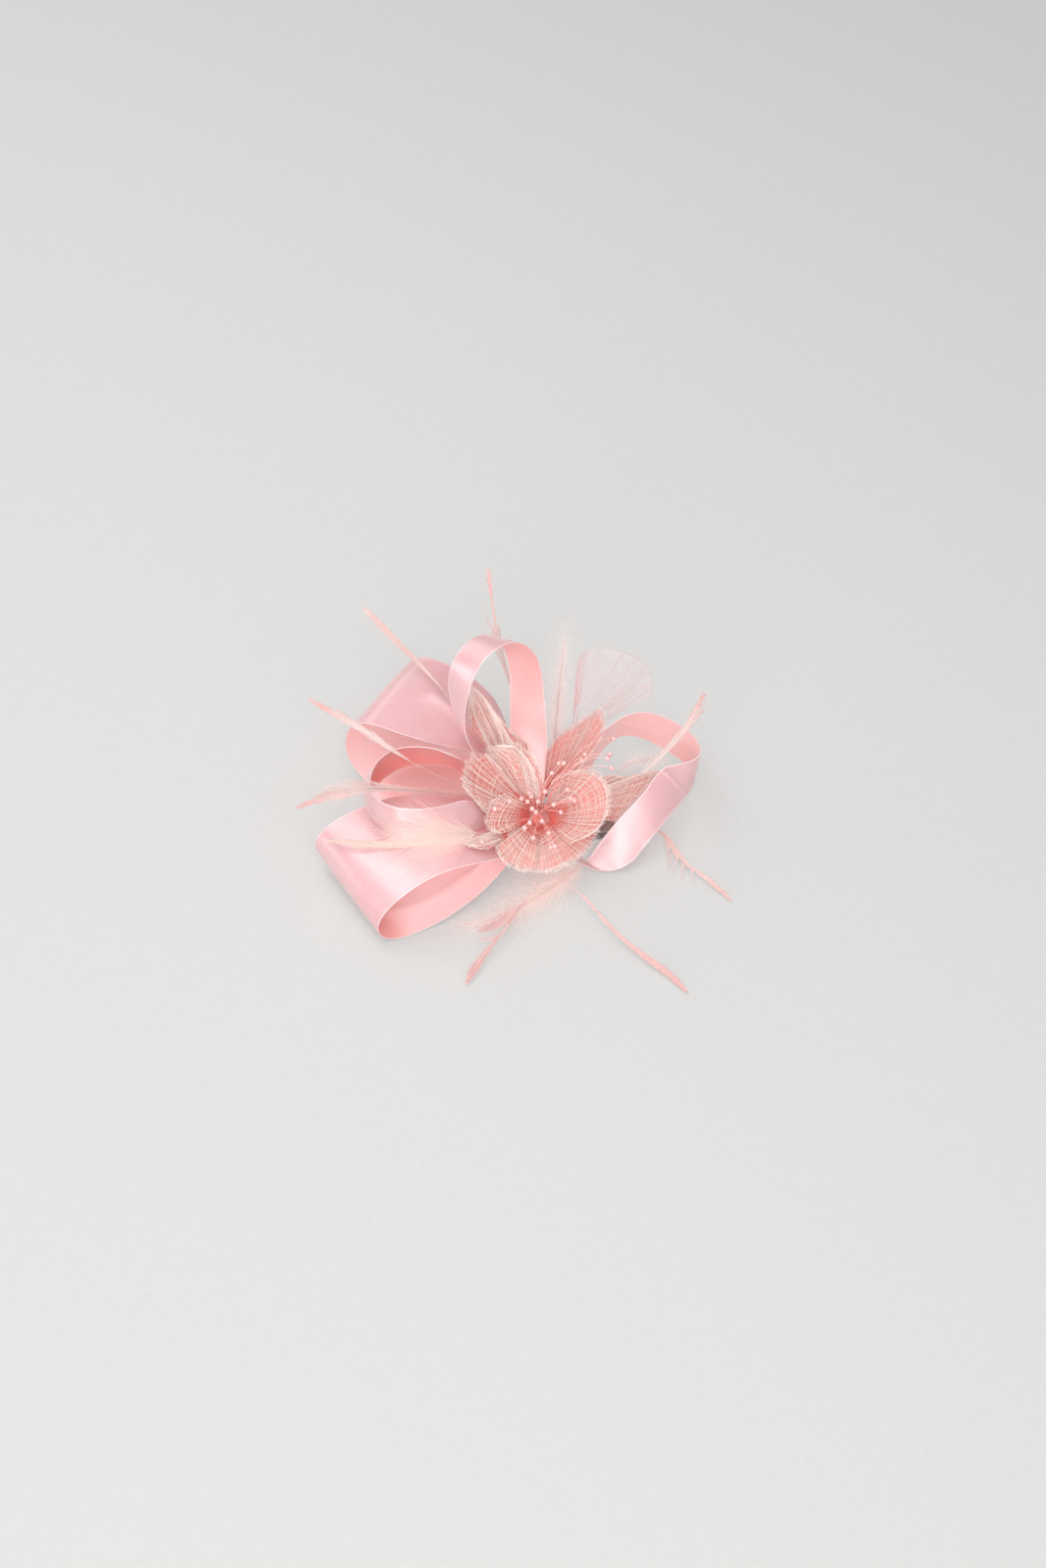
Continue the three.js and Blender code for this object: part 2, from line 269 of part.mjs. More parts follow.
// ---- clip ----
const bore = solid(alongY(PIN_HOLE_R, 20));
{
  let j = solid(strip(UPPER_LINE, UPPER_W));
  for (const s of [-1, 1]) {
    const y = UPPER_EAR_Y.map((v) => v * s).sort((a, b) => a - b);
    j = j.add(earUp(5.4, y[0], y[1]));
  }
  add('clip_upper_jaw', geo(j.subtract(bore)), 'metal');
  let k = solid(strip(LOWER_LINE, LOWER_W));
  for (const s of [-1, 1]) {
    const y = LOWER_EAR_Y.map((v) => v * s).sort((a, b) => a - b);
    k = k.add(ear(0.5, 4.8, y[0], y[1]));
  }
  add('clip_lower_jaw', geo(k.subtract(bore)), 'metal');
  add('clip_pivot_pin', alongY(PIN_R, PIN_L), 'metal');
  const pts = [new THREE.Vector3(7.5, COIL_HALF, 4.6), new THREE.Vector3(12.5, COIL_HALF, 4.6)], turns = COIL_TURNS + 0.5;
  for (let i = 0; i <= 60; i++) {
    const a = Math.PI / 2 - (i / 60) * turns * 2 * Math.PI;
    pts.push(new THREE.Vector3(PIVOT_X + COIL_R * Math.cos(a), COIL_HALF - 2 * COIL_HALF * i / 60, PIVOT_Z + COIL_R * Math.sin(a)));
  }
  pts.push(new THREE.Vector3(12.5, -COIL_HALF, 1.7), new THREE.Vector3(7.5, -COIL_HALF, 1.45));
  const wire = new THREE.Shape();
  for (let k2 = 0; k2 < 5; k2++) { const a = k2 * Math.PI / 2.5; wire[k2 ? 'lineTo' : 'moveTo'](WIRE_R * Math.cos(a), WIRE_R * Math.sin(a)); }
  wire.closePath();
  add('clip_spring', new THREE.ExtrudeGeometry(wire, { steps: 84, bevelEnabled: false, extrudePath: new THREE.CatmullRomCurve3(pts, false, 'centripetal') }), 'spring');
}

// ---- base ----
add('felt_base', new THREE.CylinderGeometry(FELT_R, FELT_R, FELT_T, 48).rotateX(Math.PI / 2).translate(0, FELT_Y, FELT_Z0 + FELT_T / 2), 'felt');
add('stem_binding', new THREE.LatheGeometry([[0, 0], [STEM_R * 1.15, 0], [STEM_R, 1], [STEM_R * 0.9, 4], [STEM_R, STEM_Z1 - STEM_Z0 - 0.5], [0, STEM_Z1 - STEM_Z0]].map((p) => new THREE.Vector2(p[0], p[1])), 20).rotateX(Math.PI / 2).translate(0, STEM_Y, STEM_Z0), 'tape');

// ---- trimmings ----
for (const [k, v] of Object.entries(RIBBONS)) add(k, band(v.N, v.R, RIBBON_T, 2), 'satin');
for (const [k, v] of Object.entries(PETALS)) add(k, petal(v, 4, 8, PETAL_T), 'weave');
for (const [k, v] of Object.entries(STAMENS)) add(k, spray(v), 'pearl');
for (const [k, v] of Object.entries(FEATHERS)) add(k, vane(v, 15), 'feather');
for (const [k, v] of Object.entries(PLUMES)) add(k, plume(v, 9), 'plume');
for (const [k, v] of Object.entries(NETS)) add(k, petal(v, 4, 10, NET_T), 'net');

export default group;
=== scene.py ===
import math

import bpy
import numpy as np
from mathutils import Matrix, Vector


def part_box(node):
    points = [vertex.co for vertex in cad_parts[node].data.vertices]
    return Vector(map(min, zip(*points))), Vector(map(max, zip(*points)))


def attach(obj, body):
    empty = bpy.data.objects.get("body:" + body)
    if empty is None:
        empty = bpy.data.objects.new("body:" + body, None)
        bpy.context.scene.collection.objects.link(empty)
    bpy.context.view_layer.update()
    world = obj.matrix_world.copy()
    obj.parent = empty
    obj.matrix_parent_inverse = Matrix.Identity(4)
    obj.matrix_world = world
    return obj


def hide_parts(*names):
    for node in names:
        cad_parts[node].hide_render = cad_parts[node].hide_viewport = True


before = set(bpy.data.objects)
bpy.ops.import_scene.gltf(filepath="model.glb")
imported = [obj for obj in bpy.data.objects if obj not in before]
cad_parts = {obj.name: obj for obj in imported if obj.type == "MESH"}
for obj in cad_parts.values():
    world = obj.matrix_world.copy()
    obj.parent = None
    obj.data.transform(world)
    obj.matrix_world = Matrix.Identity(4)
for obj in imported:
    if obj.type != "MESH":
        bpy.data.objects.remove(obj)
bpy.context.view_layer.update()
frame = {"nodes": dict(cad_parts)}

# Hair clip fascinator: satin loops, open-weave petals, beaded stamens, quill
# feathers, marabou plumes and a net fan. All stations below are in millimetres
# in the part's frame; meshes are written in metres.
MM = 0.001
BODY = "headpiece"

RIBBONS = {
    "front_left_loop": {"N": [[-4.4, -14.8, 10.4], [-10.0, -22.0, 12.8], [-16.3, -30.3, 18.3], [-23.4, -36.3, 21.9], [-31.1, -40.9, 24.3], [-38.7, -44.6, 24.5], [-45.7, -48.2, 23.1], [-51.8, -51.8, 20.8], [-57.0, -55.0, 18.1], [-60.9, -57.5, 14.8], [-63.1, -59.1, 11.4], [-63.7, -59.8, 7.8], [-62.7, -59.7, 4.2], [-59.6, -58.7, 1.3], [-54.1, -56.5, -0.2], [-46.2, -52.8, -0.1], [-36.8, -47.7, 1.2], [-27.7, -40.8, 3.0], [-19.6, -32.8, 4.9], [-12.4, -24.3, 7.5], [-5.6, -15.4, 8.7]], "R": [[-7.3, -0.8, 10.4], [-16.9, 1.6, 12.6], [-27.4, 3.8, 16.7], [-38.6, 4.8, 18.6], [-49.7, 4.1, 20.3], [-59.8, 0.7, 21.6], [-68.9, -4.0, 22.2], [-76.9, -8.6, 22.0], [-83.3, -12.5, 20.8], [-87.8, -15.5, 18.4], [-90.3, -17.3, 14.8], [-90.6, -17.7, 10.4], [-88.3, -16.8, 6.2], [-83.5, -14.8, 2.8], [-76.8, -11.9, 1.0], [-68.6, -8.1, 0.8], [-59.1, -4.2, 1.9], [-48.0, -1.7, 3.8], [-35.5, -0.5, 5.8], [-22.2, -0.2, 8.1], [-8.4, -0.8, 8.7]], "W": 50},
    "back_left_loop": {"N": [[-7.0, 1.8, 10.4], [-13.0, 9.5, 11.4], [-20.5, 18.0, 16.7], [-27.8, 24.9, 24.7], [-36.0, 23.4, 28.4], [-44.2, 23.5, 30.6], [-52.1, 25.6, 31.8], [-59.5, 28.5, 32.4], [-66.0, 31.6, 32.6], [-71.4, 34.2, 31.7], [-75.6, 36.2, 29.3], [-78.7, 37.4, 25.3], [-80.4, 37.8, 20.1], [-80.8, 37.4, 14.4], [-79.7, 36.5, 9.1], [-77.5, 34.9, 4.7], [-73.8, 32.7, 1.7], [-68.9, 27.8, 0.4], [-62.6, 21.8, 0.6], [-54.0, 18.0, 1.6], [-43.5, 15.8, 3.2], [-32.0, 12.6, 5.2], [-20.0, 8.0, 7.6], [-8.0, 2.4, 8.6]], "R": [[-1.0, 12.0, 10.4], [-5.0, 24.0, 11.4], [-11.0, 42.5, 16.0], [-18.3, 59.5, 21.8], [-23.8, 65.5, 24.2], [-29.4, 69.9, 26.3], [-35.1, 72.5, 28.0], [-40.4, 74.7, 29.1], [-45.4, 77.0, 29.2], [-49.7, 79.1, 28.2], [-53.2, 80.8, 25.9], [-55.8, 81.7, 22.2], [-57.0, 81.9, 17.6], [-56.9, 81.3, 12.7], [-55.3, 80.1, 8.0], [-52.5, 78.3, 4.3], [-48.5, 75.8, 1.8], [-43.5, 72.9, 0.9], [-37.7, 68.5, 1.1], [-31.8, 61.5, 2.4], [-25.0, 51.5, 4.0], [-17.5, 38.5, 5.8], [-9.5, 25.0, 7.8], [-2.0, 13.0, 8.6]], "W": 50},
    "ring_loop": {"N": [[-7.0, 0.2, 17.7], [-15.0, 3.5, 20.7], [-22.5, 6.0, 27.2], [-28.9, 7.3, 35.0], [-34.9, 6.6, 40.1], [-41.0, 8.4, 41.6], [-47.3, 9.1, 42.4], [-53.2, 8.6, 42.7], [-58.5, 6.8, 42.7], [-62.7, 3.6, 42.4], [-65.7, -0.7, 41.9], [-67.3, -5.6, 41.4], [-67.5, -10.5, 40.9], [-66.4, -15.0, 40.7], [-64.0, -18.8, 40.6], [-60.2, -21.9, 40.6], [-55.0, -23.8, 40.4], [-48.9, -23.8, 39.9], [-42.5, -22.0, 38.9], [-36.2, -18.3, 37.0], [-29.3, -13.4, 34.2], [-18.0, -7.0, 23.7], [-7.0, -4.2, 17.7]], "R": [[-7.0, 1.0, 13.8], [-15.5, 5.5, 13.7], [-23.5, 10.0, 16.2], [-30.0, 12.5, 21.7], [-35.9, 13.7, 25.8], [-41.6, 14.3, 26.8], [-47.6, 14.2, 27.2], [-53.5, 12.8, 27.3], [-58.7, 10.3, 27.1], [-63.1, 6.5, 26.7], [-66.2, 1.9, 26.2], [-68.0, -3.1, 25.6], [-68.3, -8.3, 25.1], [-67.1, -13.4, 24.8], [-64.6, -18.1, 25.2], [-60.8, -22.3, 25.1], [-56.1, -25.6, 25.1], [-50.4, -27.6, 25.0], [-43.8, -28.0, 24.6], [-36.1, -26.0, 25.9], [-27.3, -21.0, 24.6], [-17.5, -10.5, 17.8], [-7.0, -5.2, 14.0]], "W": 16},
    "arch_loop": {"N": [[-8.0, 5.2, 15.2], [-14.0, 7.2, 21.8], [-20.0, 9.0, 28.2], [-26.4, 12.0, 37.0], [-29.2, 14.3, 44.8], [-29.8, 16.8, 51.5], [-29.0, 19.5, 57.9], [-27.2, 22.6, 63.5], [-24.8, 26.1, 67.9], [-21.8, 29.9, 70.8], [-18.2, 33.8, 72.1], [-14.4, 37.8, 72.0], [-10.3, 41.5, 70.4], [-6.3, 44.6, 67.1], [-2.8, 46.6, 62.4], [-0.2, 47.3, 56.5], [1.5, 46.6, 50.0], [2.4, 44.4, 43.3], [3.0, 41.0, 36.7], [3.5, 36.3, 30.5], [4.0, 30.8, 25.0], [4.0, 24.4, 20.3], [3.9, 16.8, 16.3], [3.1, 7.7, 13.0]], "R": [[-9.0, 11.0, 15.2], [-14.5, 15.5, 19.0], [-20.8, 20.5, 22.7], [-27.8, 25.0, 29.2], [-33.1, 28.2, 38.0], [-35.8, 30.6, 46.2], [-36.7, 32.7, 53.1], [-36.4, 34.8, 58.5], [-35.0, 37.2, 62.6], [-32.7, 40.3, 65.6], [-29.7, 43.9, 67.3], [-26.2, 47.5, 67.5], [-22.6, 50.9, 66.2], [-19.1, 53.5, 63.3], [-16.0, 55.1, 59.0], [-13.7, 55.5, 53.7], [-12.2, 54.4, 47.5], [-11.5, 51.9, 41.0], [-11.4, 47.7, 34.3], [-11.4, 41.8, 27.8], [-11.1, 34.5, 22.2], [-9.7, 26.2, 17.8], [-7.9, 17.7, 14.5], [-5.7, 9.3, 12.4]], "W": 16},
    "right_loop": {"N": [[6.0, 11.5, 9.8], [13.7, 19.4, 19.4], [21.6, 26.9, 25.7], [28.5, 33.1, 29.4], [34.1, 37.7, 30.8], [39.2, 40.4, 31.4], [44.3, 41.3, 31.5], [49.6, 40.5, 31.2], [54.9, 37.9, 30.9], [59.7, 34.1, 30.6], [63.8, 29.6, 30.4], [66.6, 25.0, 29.9], [67.6, 20.9, 29.3], [66.6, 17.7, 28.8], [63.9, 15.6, 28.4], [60.3, 14.4, 28.0], [56.4, 13.5, 27.7], [52.1, 12.0, 27.7], [48.3, 8.6, 25.4], [44.2, 4.0, 22.0], [39.4, 0.0, 18.6], [34.4, -3.5, 14.6], [29.5, -6.5, 9.7], [25.0, -9.5, 4.5], [21.7, -12.4, 0.6], [19.9, -14.5, -0.3], [18.1, -15.0, 2.0], [14.8, -12.9, 5.9], [9.0, -7.5, 9.8]], "R": [[9.5, 2.0, 9.8], [17.7, 18.3, 11.6], [23.9, 30.5, 13.1], [29.4, 38.8, 14.6], [34.5, 42.9, 15.6], [39.5, 43.5, 15.7], [44.7, 41.9, 15.5], [49.7, 38.8, 15.3], [54.4, 35.1, 15.1], [58.4, 31.5, 14.9], [61.8, 28.4, 14.5], [64.3, 25.7, 14.1], [65.7, 23.1, 13.6], [65.9, 20.2, 13.0], [64.9, 16.9, 12.5], [62.9, 12.9, 12.3], [60.2, 8.4, 12.5], [57.2, 3.7, 12.8], [54.0, -1.0, 12.2], [50.5, -5.6, 10.6], [46.7, -9.9, 8.1], [42.8, -13.9, 5.5], [39.1, -17.9, 3.4], [35.4, -20.4, 2.6], [31.1, -22.3, 2.2], [25.5, -22.6, 2.4], [19.8, -21.7, 4.2], [13.1, -19.8, 8.2], [7.0, -15.0, 9.8]], "W": 16},
}
PETALS = {
    "petal_upper": {"base": [-1.5, -0.4, 17.8], "bulge": [0, -1, -4], "rim": [[-22.1, 20.5, 29.2], [-17.6, 19.6, 33.2], [-10.7, 17.7, 36.2], [-4.6, 13.4, 36.7], [-0.2, 8.0, 34.7], [3.0, 2.7, 29.2]]},
    "petal_left": {"base": [-3.4, -2.6, 17.6], "bulge": [0, 0, -3], "rim": [[-15.1, 9.2, 30.7], [-21.1, 11.5, 35.7], [-26.3, 9.2, 38.0], [-29.7, 1.0, 38.2], [-30.4, -6.4, 37.7], [-28.0, -11.7, 35.7], [-23.7, -13.3, 31.2], [-20.5, -13.7, 27.0]]},
    "petal_lower_left": {"base": [-3.0, -6.0, 17.8], "bulge": [0, -1, 1], "rim": [[-11.4, -4.6, 29.7], [-16.2, -7.8, 30.7], [-19.4, -11.3, 29.7], [-20.9, -16.1, 27.2], [-20.1, -21.3, 25.8], [-15.0, -22.2, 23.8]]},
    "petal_front_left": {"base": [-1.4, -8.2, 16.0], "bulge": [0, -1, 1.6], "rim": [[-18.6, -19.8, 20.2], [-16.9, -26.7, 20.0], [-14.1, -31.8, 18.4], [-7.4, -33.2, 14.2], [-1.1, -32.4, 12.7]]},
    "petal_front_right": {"base": [2.0, -8.2, 15.0], "bulge": [0, -1, 0.4], "rim": [[-4.6, -29.9, 11.2], [0.1, -31.6, 11.6], [5.3, -32.1, 12.4], [12.4, -29.6, 13.2], [19.2, -23.9, 14.7], [24.1, -16.0, 16.2], [25.4, -10.2, 17.2]]},
    "petal_right": {"base": [3.6, -4.6, 17.8], "bulge": [1, -1, -2.5], "rim": [[4.2, 1.6, 25.2], [7.0, 3.8, 29.2], [11.8, 5.0, 31.7], [17.4, 6.2, 32.2], [23.5, 5.9, 31.7], [27.8, 2.3, 30.2], [29.5, -3.7, 27.7], [28.5, -10.3, 24.7], [24.7, -17.7, 23.7], [19.1, -22.3, 22.2], [12.4, -25.6, 21.7]]},
    "petal_back": {"base": [5.0, 6.0, 15.8], "bulge": [0, 3, -3], "rim": [[3.9, 23.6, 26.2], [9.6, 27.9, 32.2], [16.9, 29.2, 37.2], [22.9, 30.9, 41.2], [26.2, 31.6, 42.2], [27.8, 26.5, 39.2], [25.7, 21.8, 34.2], [22.5, 18.2, 29.2]]},
    "petal_back_left": {"base": [-6.0, 8.4, 16.6], "bulge": [0, 1, -1], "rim": [[-28.6, 30.7, 35.2], [-28.3, 37.1, 39.2], [-27.5, 43.6, 43.2], [-22.2, 40.3, 41.2], [-17.2, 34.5, 37.2], [-11.5, 29.2, 33.2], [-4.2, 26.8, 28.2]]},
    "petal_back_right": {"base": [9.0, -1.0, 14.8], "bulge": [0, 0, 2], "rim": [[30.0, 16.8, 19.2], [36.7, 19.1, 15.7], [43.0, 22.6, 13.7], [48.5, 25.5, 12.8], [51.4, 25.6, 11.6], [48.8, 21.0, 10.4], [43.7, 13.7, 9.6], [38.6, 6.6, 9.2], [33.9, -0.6, 9.0]]},
    "petal_tip": {"base": [-12.0, -17.5, 20.7], "bulge": [0, 0, 0.3], "rim": [[-19.3, -21.3, 23.2], [-24.8, -24.0, 24.0], [-29.9, -27.5, 24.2], [-26.3, -29.6, 23.6], [-20.0, -29.2, 22.6]]},
}
FEATHERS = {
    "feather_top": {"s": 0.35, "w": 3.0, "path": [[1.0, 10.0, 11.4], [0.0, 18.0, 12.0], [-2.0, 28.0, 14.4], [-6.0, 43.0, 21.2], [-12.0, 56.0, 36.7], [-15.3, 61.5, 46.2], [-17.4, 68.0, 54.2], [-19.2, 77.0, 62.7], [-20.7, 88.3, 71.2]]},
    "feather_upper_left": {"s": 0.5, "w": 3.2, "path": [[-8.5, 14.8, 14.0], [-11.0, 17.5, 15.8], [-18.0, 26.0, 21.2], [-28.8, 33.7, 28.4], [-34.2, 42.1, 31.7], [-40.6, 53.8, 33.7], [-49.0, 63.5, 37.2], [-58.1, 69.3, 44.2], [-66.4, 75.6, 49.7], [-74.0, 81.8, 54.2]]},
    "feather_left_high": {"s": 0.5, "w": 3.2, "path": [[-12.0, 1.5, 13.8], [-22.0, 4.0, 17.8], [-31.0, 5.5, 21.2], [-39.6, 5.7, 28.2], [-48.6, 3.7, 36.7], [-58.4, 5.6, 43.7], [-67.7, 12.5, 45.7], [-75.8, 20.6, 43.7], [-85.3, 30.3, 41.7], [-95.8, 41.6, 39.2]]},
    "feather_left": {"s": 0.32, "w": 3.6, "path": [[-10.0, -2.2, 15.8], [-18.0, -3.0, 19.2], [-27.5, -2.4, 24.7], [-43.3, -5.5, 31.2], [-58.7, -12.1, 39.2], [-67.8, -16.8, 43.7], [-80.2, -16.2, 39.2], [-90.6, -13.4, 33.2], [-100.1, -11.6, 27.2]]},
    "feather_on_loop": {"s": 0.1, "w": 2.6, "path": [[-32.6, -28.6, 24.8], [-42.9, -29.2, 25.4], [-58.6, -29.3, 25.0], [-74.5, -27.3, 24.0], [-87.5, -22.8, 21.0]]},
    "feather_front_left": {"s": 0.3, "w": 3.2, "path": [[-0.5, -15.0, 11.4], [0.5, -25.1, 10.2], [-1.9, -37.3, 8.7], [-9.4, -51.0, 6.2], [-19.1, -65.6, 3.2], [-24.1, -74.7, 1.8], [-28.6, -82.5, 0.8]]},
    "feather_front_right": {"s": 0.35, "w": 2.8, "path": [[6.5, -19.5, 11.2], [11.6, -33.4, 8.6], [20.2, -43.5, 6.7], [29.8, -56.5, 4.7], [39.4, -66.7, 3.2], [50.7, -76.6, 1.6], [58.9, -86.3, 0.5]]},
    "feather_right_low": {"s": 0.5, "w": 2.6, "path": [[13.5, 0.0, 12.2], [17.5, 4.0, 10.8], [22.0, 6.0, 8.8], [30.0, 6.2, 5.8], [38.0, 4.5, 4.2], [51.5, -2.5, 4.0], [61.0, -18.2, 2.8], [70.6, -28.0, 1.6], [78.9, -37.8, 0.4]]},
    "feather_right_high": {"s": 0.45, "w": 3.0, "path": [[12.0, 0.5, 17.8], [18.0, 4.0, 19.2], [25.0, 7.0, 20.8], [37.1, 10.9, 22.2], [45.2, 13.1, 25.7], [53.2, 17.5, 32.7], [61.3, 24.8, 39.7], [65.5, 31.6, 42.7], [69.0, 38.4, 44.7]]},
}
PLUMES = {
    "plume_left": {"r": 2.2, "path": [[-24.4, -24.4, 26.7], [-31.0, -27.4, 29.2], [-42.7, -30.2, 32.2], [-53.7, -30.1, 31.2], [-60.8, -29.7, 28.2]]},
    "plume_front": {"r": 1.5, "path": [[18.9, -23.8, 8.8], [14.1, -26.8, 6.2], [8.5, -30.1, 3.8], [-3.5, -40.3, 3.2], [-17.3, -48.5, 2.2], [-34.2, -52.8, 1.7]]},
    "plume_back": {"r": 2.2, "path": [[7.2, 24.5, 20.6], [7.2, 29.0, 27.2], [8.5, 39.2, 37.2], [10.1, 50.3, 49.2], [12.1, 62.6, 61.2]]},
    "plume_right": {"r": 2.0, "path": [[32.4, 15.3, 21.2], [39.5, 21.7, 21.2], [45.8, 25.5, 19.2], [52.7, 30.3, 16.2]]},
}
STAMENS = {
    "stamens_centre_left": {"root": [-1.1, -4.0, 18.8], "lift": 0.16, "pearls": [[-11.4, -12.1, 32.2], [-6.6, -7.5, 29.2], [-3.4, -3.4, 28.2], [-2.6, -4.8, 27.7], [-4.2, -7.2, 27.2], [-17.3, -16.3, 32.2]]},
    "stamens_centre": {"root": [-0.2, -5.4, 19.5], "lift": 0.16, "pearls": [[-2.3, -11.4, 27.2], [-0.7, -12.8, 26.7], [1.7, -16.8, 25.7], [-3.3, -17.7, 25.7], [-5.4, -20.7, 25.7], [0.1, -7.7, 27.7]]},
    "stamens_front": {"root": [0.9, -7.4, 18.4], "lift": 0.16, "pearls": [[-1.9, -23.3, 22.7], [4.5, -20.6, 22.7], [5.2, -27.8, 21.7], [6.8, -27.7, 22.2], [-22.4, -28.6, 26.0]]},
    "stamens_right": {"root": [1.6, -4.6, 18.8], "lift": 0.16, "pearls": [[3.0, -2.5, 28.2], [6.5, -7.9, 26.2], [9.3, -11.3, 25.2], [12.1, -3.4, 30.2], [13.3, -7.5, 29.2], [14.9, -8.6, 29.2]]},
    "stamens_back": {"root": [-0.2, -1.9, 19.5], "lift": 0.3, "pearls": [[5.7, 1.2, 35.2], [8.6, 5.4, 36.7], [10.6, 5.4, 36.7], [17.8, 7.6, 36.2], [19.4, 10.8, 36.4]]},
    "stamens_back_right": {"root": [2.9, -3.0, 20.4], "lift": 0.6, "pearls": [[28.4, 7.2, 37.7], [29.4, 9.5, 37.7], [31.2, 18.2, 38.2], [30.1, 3.0, 36.2]]},
}
NETS = {
    "net_fan": {"base": [17.0, 38.0, 23.2], "bulge": [0, 2, -2], "rim": [[17.3, 50.8, 29.2], [16.5, 57.3, 37.2], [17.2, 59.6, 45.2], [21.2, 58.5, 51.2], [27.3, 57.0, 54.2], [35.8, 54.4, 53.2], [43.7, 53.4, 49.2], [48.0, 51.9, 42.2], [47.7, 48.4, 34.2]]},
}

# ------------------------------------------------------------------ curves


def spline(points, ts):
    """Centripetal Catmull-Rom through the points, at parameters ts from 0 to 1."""
    p = np.asarray(points, float)
    n = len(p)
    q = np.vstack([2 * p[0] - p[1], p, 2 * p[-1] - p[-2]])
    x = np.clip(np.asarray(ts, float), 0, 1) * (n - 1)
    k = np.minimum(x.astype(int), n - 2)
    w = (x - k)[:, None]
    p0, p1, p2, p3 = q[k], q[k + 1], q[k + 2], q[k + 3]
    d0 = np.maximum(np.linalg.norm(p1 - p0, axis=1), 1e-6)[:, None] ** 0.5
    d1 = np.maximum(np.linalg.norm(p2 - p1, axis=1), 1e-6)[:, None] ** 0.5
    d2 = np.maximum(np.linalg.norm(p3 - p2, axis=1), 1e-6)[:, None] ** 0.5
    t1 = ((p1 - p0) / d0 - (p2 - p0) / (d0 + d1) + (p2 - p1) / d1) * d1
    t2 = ((p2 - p1) / d1 - (p3 - p1) / (d1 + d2) + (p3 - p2) / d2) * d1
    c2 = -3 * p1 + 3 * p2 - 2 * t1 - t2
    c3 = 2 * p1 - 2 * p2 + t1 + t2
    return p1 + t1 * w + c2 * w**2 + c3 * w**3


def lengths(path):
    return np.concatenate([[0], np.cumsum(np.linalg.norm(np.diff(path, axis=0), axis=1))])


def along(points, n):
    """n + 1 points at equal steps of length along the spline."""
    fine = spline(points, np.linspace(0, 1, 60 * len(points)))
    s = lengths(fine)
    want = np.linspace(0, s[-1], n + 1)
    return np.stack([np.interp(want, s, fine[:, a]) for a in range(3)], 1)


def unit(v):
    return v / np.maximum(np.linalg.norm(v, axis=-1, keepdims=True), 1e-9)


def tangents(path):
    return unit(np.gradient(path, axis=0))


def smooth(x, a, b):
    t = np.clip((np.asarray(x, float) - a) / (b - a), 0, 1)
    return t * t * (3 - 2 * t)


def wobble(rng, n, cycles):
    """Smooth random line of n values, about -1 to 1."""
    knots = rng.uniform(-1, 1, max(int(cycles), 2) + 3)
    x = np.linspace(0, len(knots) - 3.001, n)
    k = x.astype(int)
    w = (x - k) ** 2 * (3 - 2 * (x - k))
    return knots[k] * (1 - w) + knots[k + 1] * w


# ------------------------------------------------------------------ meshes


def new_mesh(name, verts, quads, tris=()):
    quads = np.asarray(quads, np.int32).reshape(-1, 4)
    tris = np.asarray(tris, np.int32).reshape(-1, 3)
    me = bpy.data.meshes.new(name)
    me.vertices.add(len(verts))
    me.vertices.foreach_set("co", (np.asarray(verts) * MM).astype(np.float32).ravel())
    loops = np.concatenate([quads.ravel(), tris.ravel()]).astype(np.int32)
    me.loops.add(len(loops))
    me.loops.foreach_set("vertex_index", loops)
    me.polygons.add(len(quads) + len(tris))
    starts = np.concatenate([np.arange(len(quads)) * 4, len(quads) * 4 + np.arange(len(tris)) * 3])
    me.polygons.foreach_set("loop_start", starts.astype(np.int32))
    me.update(calc_edges=True)
    me.polygons.foreach_set("use_smooth", np.ones(len(me.polygons), bool))
    return me


def value(me, name, data):
    at = me.attributes.new(name, "FLOAT", "POINT")
    at.data.foreach_set("value", np.asarray(data, np.float32))


def place(name, me, materials, slot, *nodes):
    ob = bpy.data.objects.new(name, me)
    bpy.context.scene.collection.objects.link(ob)
    for m in materials:
        me.materials.append(m)
    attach(ob, BODY)
    if nodes:
        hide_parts(*nodes)
    return ob


class Strands:
    """Many thin closed tubes gathered in one mesh."""

    def __init__(self, sides=3):
        self.sides, self.n = sides, 0
        self.v, self.q, self.t, self.tone, self.kind = [], [], [], [], []

    def add(self, path, radius, up=None, flat=1.0, tone=0.5, kind=0):
        path = np.array(path, float)
        path[:, 2] = np.maximum(path[:, 2], -0.4)
        m, k = len(path), self.sides
        r = np.broadcast_to(np.asarray(radius, float), (m,))[:, None]
        t = tangents(path)
        if up is None:
            ref = np.array([0.0, 0.0, 1.0]) if abs(t[0, 2]) < 0.9 else np.array([1.0, 0, 0])
            up = np.empty_like(path)
            for i in range(m):
                ref = ref - t[i] * (ref @ t[i])
                ref = ref / max(np.linalg.norm(ref), 1e-9)
                up[i] = ref
        else:
            up = np.broadcast_to(np.asarray(up, float), (m, 3))
            up = unit(up - t * (up * t).sum(1, keepdims=True))
        side = np.cross(t, up)
        rings = []
        for j in range(k):
            a = 2 * math.pi * j / k + math.pi / 2
            rings.append(path + r * (math.cos(a) * side + flat * math.sin(a) * up))
        self.v.append(np.stack(rings, 1).reshape(-1, 3))
        i = np.arange(m - 1)[:, None] * k
        j = np.arange(k)[None]
        a, b = i + j, i + (j + 1) % k
        self.q.append((np.stack([a, b, b + k, a + k], -1) + self.n).reshape(-1, 4)[:, ::-1])
        e = (m - 1) * k
        fan = np.array([[0, c, c + 1] for c in range(1, k - 1)])
        self.t.append(np.concatenate([fan, fan[:, ::-1] + e]) + self.n)
        self.tone.append(np.repeat(np.broadcast_to(np.asarray(tone, float), (m,)), k))
        self.kind.append(np.full((m - 1) * k, kind))
        self.n += m * k
        return self

    def mesh(self, name):
        me = new_mesh(name, np.concatenate(self.v), np.concatenate(self.q), np.concatenate(self.t))
        value(me, "tone", np.concatenate(self.tone))
        return me


